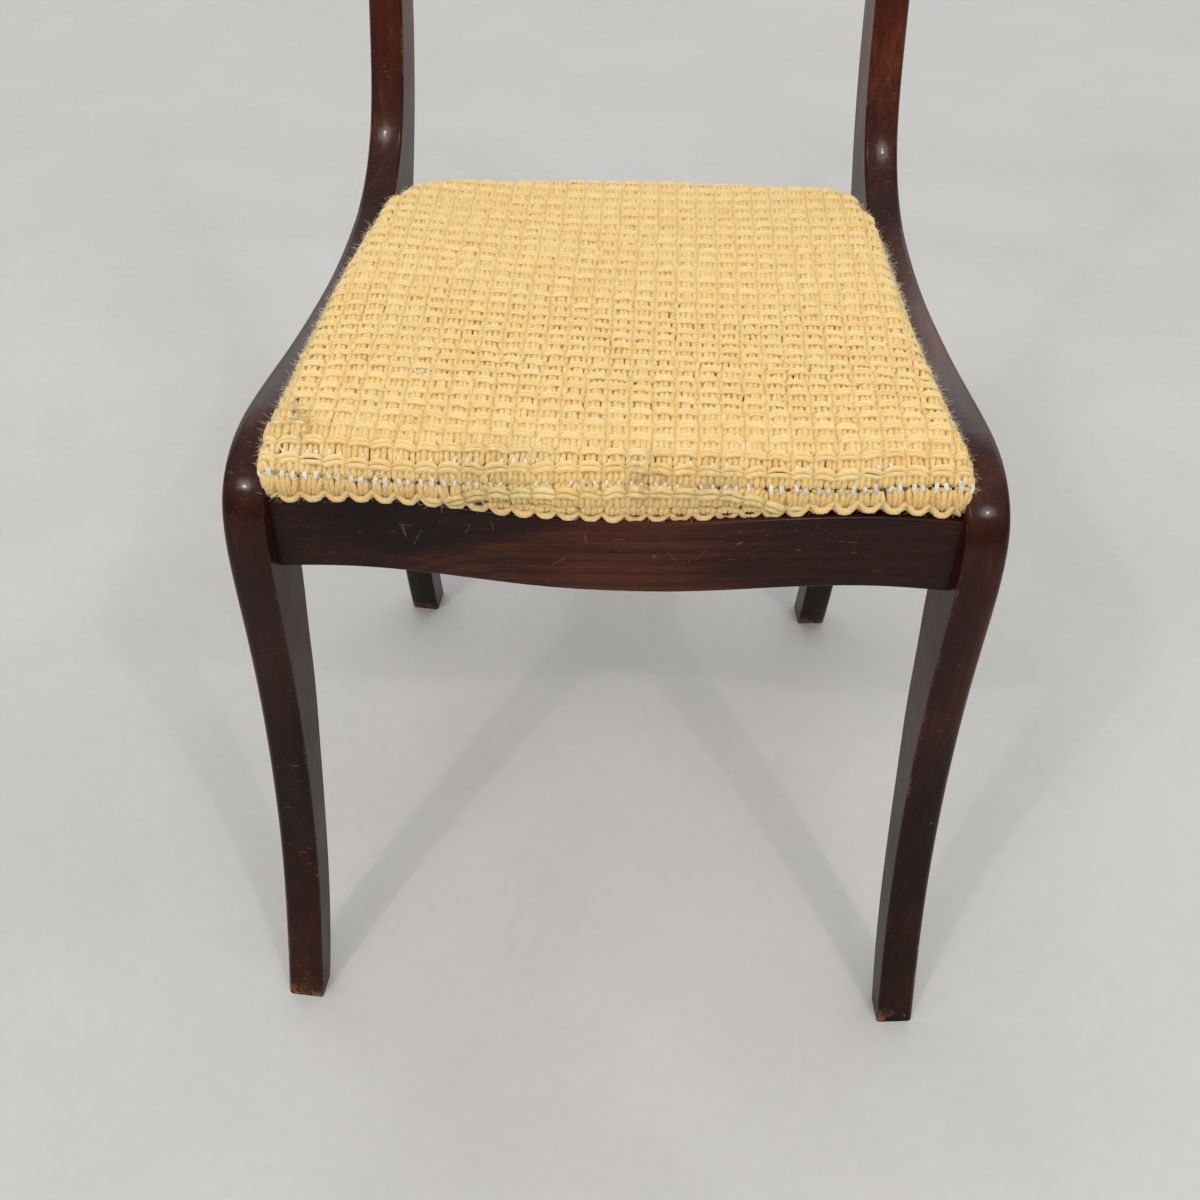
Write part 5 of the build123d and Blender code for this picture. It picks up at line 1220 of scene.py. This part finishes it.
def hessian():
    na, nr = 200, 24
    ang = np.linspace(0, 2 * math.pi, na, endpoint=False)
    c, s = np.cos(ang), np.sin(ang)
    lo, hi = np.full(na, 40.0), np.full(na, 330.0)
    for _ in range(48):
        mid = 0.5 * (lo + hi)
        x, d = mid * c, 255 + mid * s
        f1, f2, f3 = serpentine(x) + 12.0 - d, np.abs(x) - inner_x(d) + 11.0, d - 428.0
        out = round_meet(round_meet(f2, f3, 14.0), f1, 5.0) > 0
        lo, hi = np.where(out, lo, mid), np.where(out, mid, hi)
    r0 = 0.5 * (lo + hi)
    rings, low = [], []
    for t in np.linspace(0.03, 1, nr):
        x, d = r0 * t * c, 255 + r0 * t * s
        z = 446.2 + 0.22 * np.sin(x / 33) * np.sin(d / 33)
        rings.append(np.stack([x, d + Y_TOE, z], -1))
    v = np.concatenate(rings)
    i, j = np.meshgrid(np.arange(nr - 1), np.arange(na), indexing="ij")
    k = (j + 1) % na
    quads = np.stack([i * na + j, (i + 1) * na + j, (i + 1) * na + k, i * na + k], -1).reshape(-1, 4)
    v = np.concatenate([v, [[0, 255 + Y_TOE, 446.2]]])
    ob = mesh_object("hessian_cloth", v, quads, cloth_material("hessian_weave", (0.14, 0.09, 0.045), (0.56, 0.42, 0.24), 420, 0.0008),
                     extra=[np.array([nr * na, a, (a + 1) % na]) for a in range(na)])
    mod = ob.modifiers.new("cloth", "SOLIDIFY")
    mod.thickness, mod.offset = 0.6 * MM, 0.0
    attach(ob, "seat"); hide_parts("hessian_sheet")


hessian()


# ---------------------------------------------------------------------------
# the remaining pieces of the frame
# ---------------------------------------------------------------------------
def metal(name, dark, light, rough):
    y = Mat(name)
    n = y.noise(y.coord, 700.0, 4.0, 0.6)
    m2 = y.noise(y.coord, 90.0, 3.0, 0.5)
    level = y.math("MULTIPLY_ADD", n, 0.5, y.math("MULTIPLY", m2, 0.5))
    y.set(Base_Color=y.mix(y.span(level, 0.35, 0.65), dark, light), Roughness=y.span(level, 0.3, 0.7, rough, rough + 0.2, smooth=False),
          Normal=y.bump(n, 0.0001, 0.5))
    y.bsdf.inputs["Metallic"].default_value = 1.0
    return y.m


def plain_wood(name, axis, seed, dark, mid, light):
    return wood(name, axis, UP, seed, dark, mid, light, polish=False, foot=False, figure=0.8)


PALE = ((0.20, 0.115, 0.055), (0.40, 0.26, 0.14), (0.56, 0.40, 0.24))
BIRCH = ((0.38, 0.25, 0.14), (0.58, 0.42, 0.26), (0.70, 0.55, 0.37))
for i, node in enumerate(["corner_block_front_right", "corner_block_front_left", "corner_block_rear_right", "corner_block_rear_left"]):
    dress(nodes[node], plain_wood("block_wood_%d" % i, 0, 3.1 + i, *PALE))
for i, (node, axis) in enumerate([("seat_frame_front", 0), ("seat_frame_back", 0), ("seat_frame_right", 1), ("seat_frame_left", 1)]):
    dress(nodes[node], plain_wood("seat_frame_wood_%d" % i, axis, 6.3 + i, *PALE))
for node, axis in (("front_rail_dowels", 0), ("rear_rail_dowels", 0), ("leg_to_side_rail_dowels", 1), ("side_rail_to_stile_dowels", 1),
                   ("crest_rail_dowels", 2), ("cross_rail_dowels", 0), ("seat_frame_dowels", 1)):
    dress(nodes[node], plain_wood("dowel_" + node, axis, 2.2, *BIRCH))
dress(nodes["corner_block_screws"], metal("screw_steel_worn", (0.20, 0.18, 0.16), (0.50, 0.47, 0.43), 0.32))
dress(nodes["webbing_tacks"], metal("tack_blued", (0.05, 0.055, 0.075), (0.16, 0.17, 0.21), 0.35))


# ---------------------------------------------------------------------------
# plain pale floor and soft light
# ---------------------------------------------------------------------------
def stage():
    bpy.ops.mesh.primitive_plane_add(size=14, location=(0, 0, 0))
    floor = bpy.context.object
    floor.name = "floor"
    y = Mat("floor_pale")
    n = y.noise(y.coord, 3.0, 5.0, 0.55)
    fine = y.noise(y.coord, 90.0, 3.0, 0.6)
    level = y.math("MULTIPLY_ADD", fine, 0.3, n)
    y.set(Base_Color=y.mix(y.span(level, 0.4, 0.9), (0.50, 0.49, 0.475), (0.57, 0.56, 0.545)), Roughness=y.span(n, 0.3, 0.7, 0.5, 0.62, smooth=False))
    dress(floor, y.m)
    # a soft dome: bright overhead and behind the chair, dim towards the viewer; and two panels above the viewer's left and right
    world = bpy.data.worlds.new("world")
    scene.world = world
    world.use_nodes = True
    nt = world.node_tree
    sky = nt.nodes.new("ShaderNodeTexCoord").outputs["Generated"]
    sep = nt.nodes.new("ShaderNodeSeparateXYZ")
    nt.links.new(sky, sep.inputs[0])

    def ramp(source, stops):
        n = nt.nodes.new("ShaderNodeValToRGB")
        n.color_ramp.interpolation = "EASE"
        el = n.color_ramp.elements
        while len(el) < len(stops):
            el.new(0.5)
        for e, (at, level) in zip(el, stops):
            e.position, e.color = at, (level, level, level, 1.0)
        nt.links.new(source, n.inputs[0])
        return n.outputs[0]

    def combine(op, x, y):
        n = nt.nodes.new("ShaderNodeMath")
        n.operation = op
        for socket, v in zip(n.inputs, (x, y)):
            if isinstance(v, float):
                socket.default_value = v
            else:
                nt.links.new(v, socket)
        return n.outputs[0]
    dome = ramp(sep.outputs[2], ((0.0, 0.22), (0.45, 0.55), (1.0, 1.10)))
    behind = combine("MULTIPLY", ramp(sep.outputs[1], ((0.25, 0.0), (0.75, 1.0))), ramp(sep.outputs[2], ((0.05, 0.35), (0.30, 1.0), (0.75, 0.0))))
    light = combine("ADD", dome, combine("MULTIPLY", behind, 1.6))
    nt.links.new(light, nt.nodes["Background"].inputs[0])
    nt.nodes["Background"].inputs[1].default_value = 0.92

    def lamp(name, place, aim, size, power, colour):
        d = bpy.data.lights.new(name, "AREA")
        d.shape, d.size, d.size_y, d.energy, d.color = "ELLIPSE", size[0], size[1], power, colour
        o = bpy.data.objects.new(name, d)
        scene.collection.objects.link(o)
        o.location = place
        o.rotation_mode = "QUATERNION"
        o.rotation_quaternion = (Vector(aim) - Vector(place)).to_track_quat("-Z", "Y")

    for name, x, y, power in (("left", -1.45, -2.28, 27), ("right", 1.36, -2.22, 24)):
        lamp("panel_" + name, (x, y, 3.02), (0, 0, 0.4), (1.2, 1.0), 0.74 * power, (1.0, 0.98, 0.95))
        lamp("core_" + name, (x, y, 3.0), (0, 0, 0.4), (0.10, 0.10), 0.52 * power, (1.0, 0.98, 0.95))


stage()
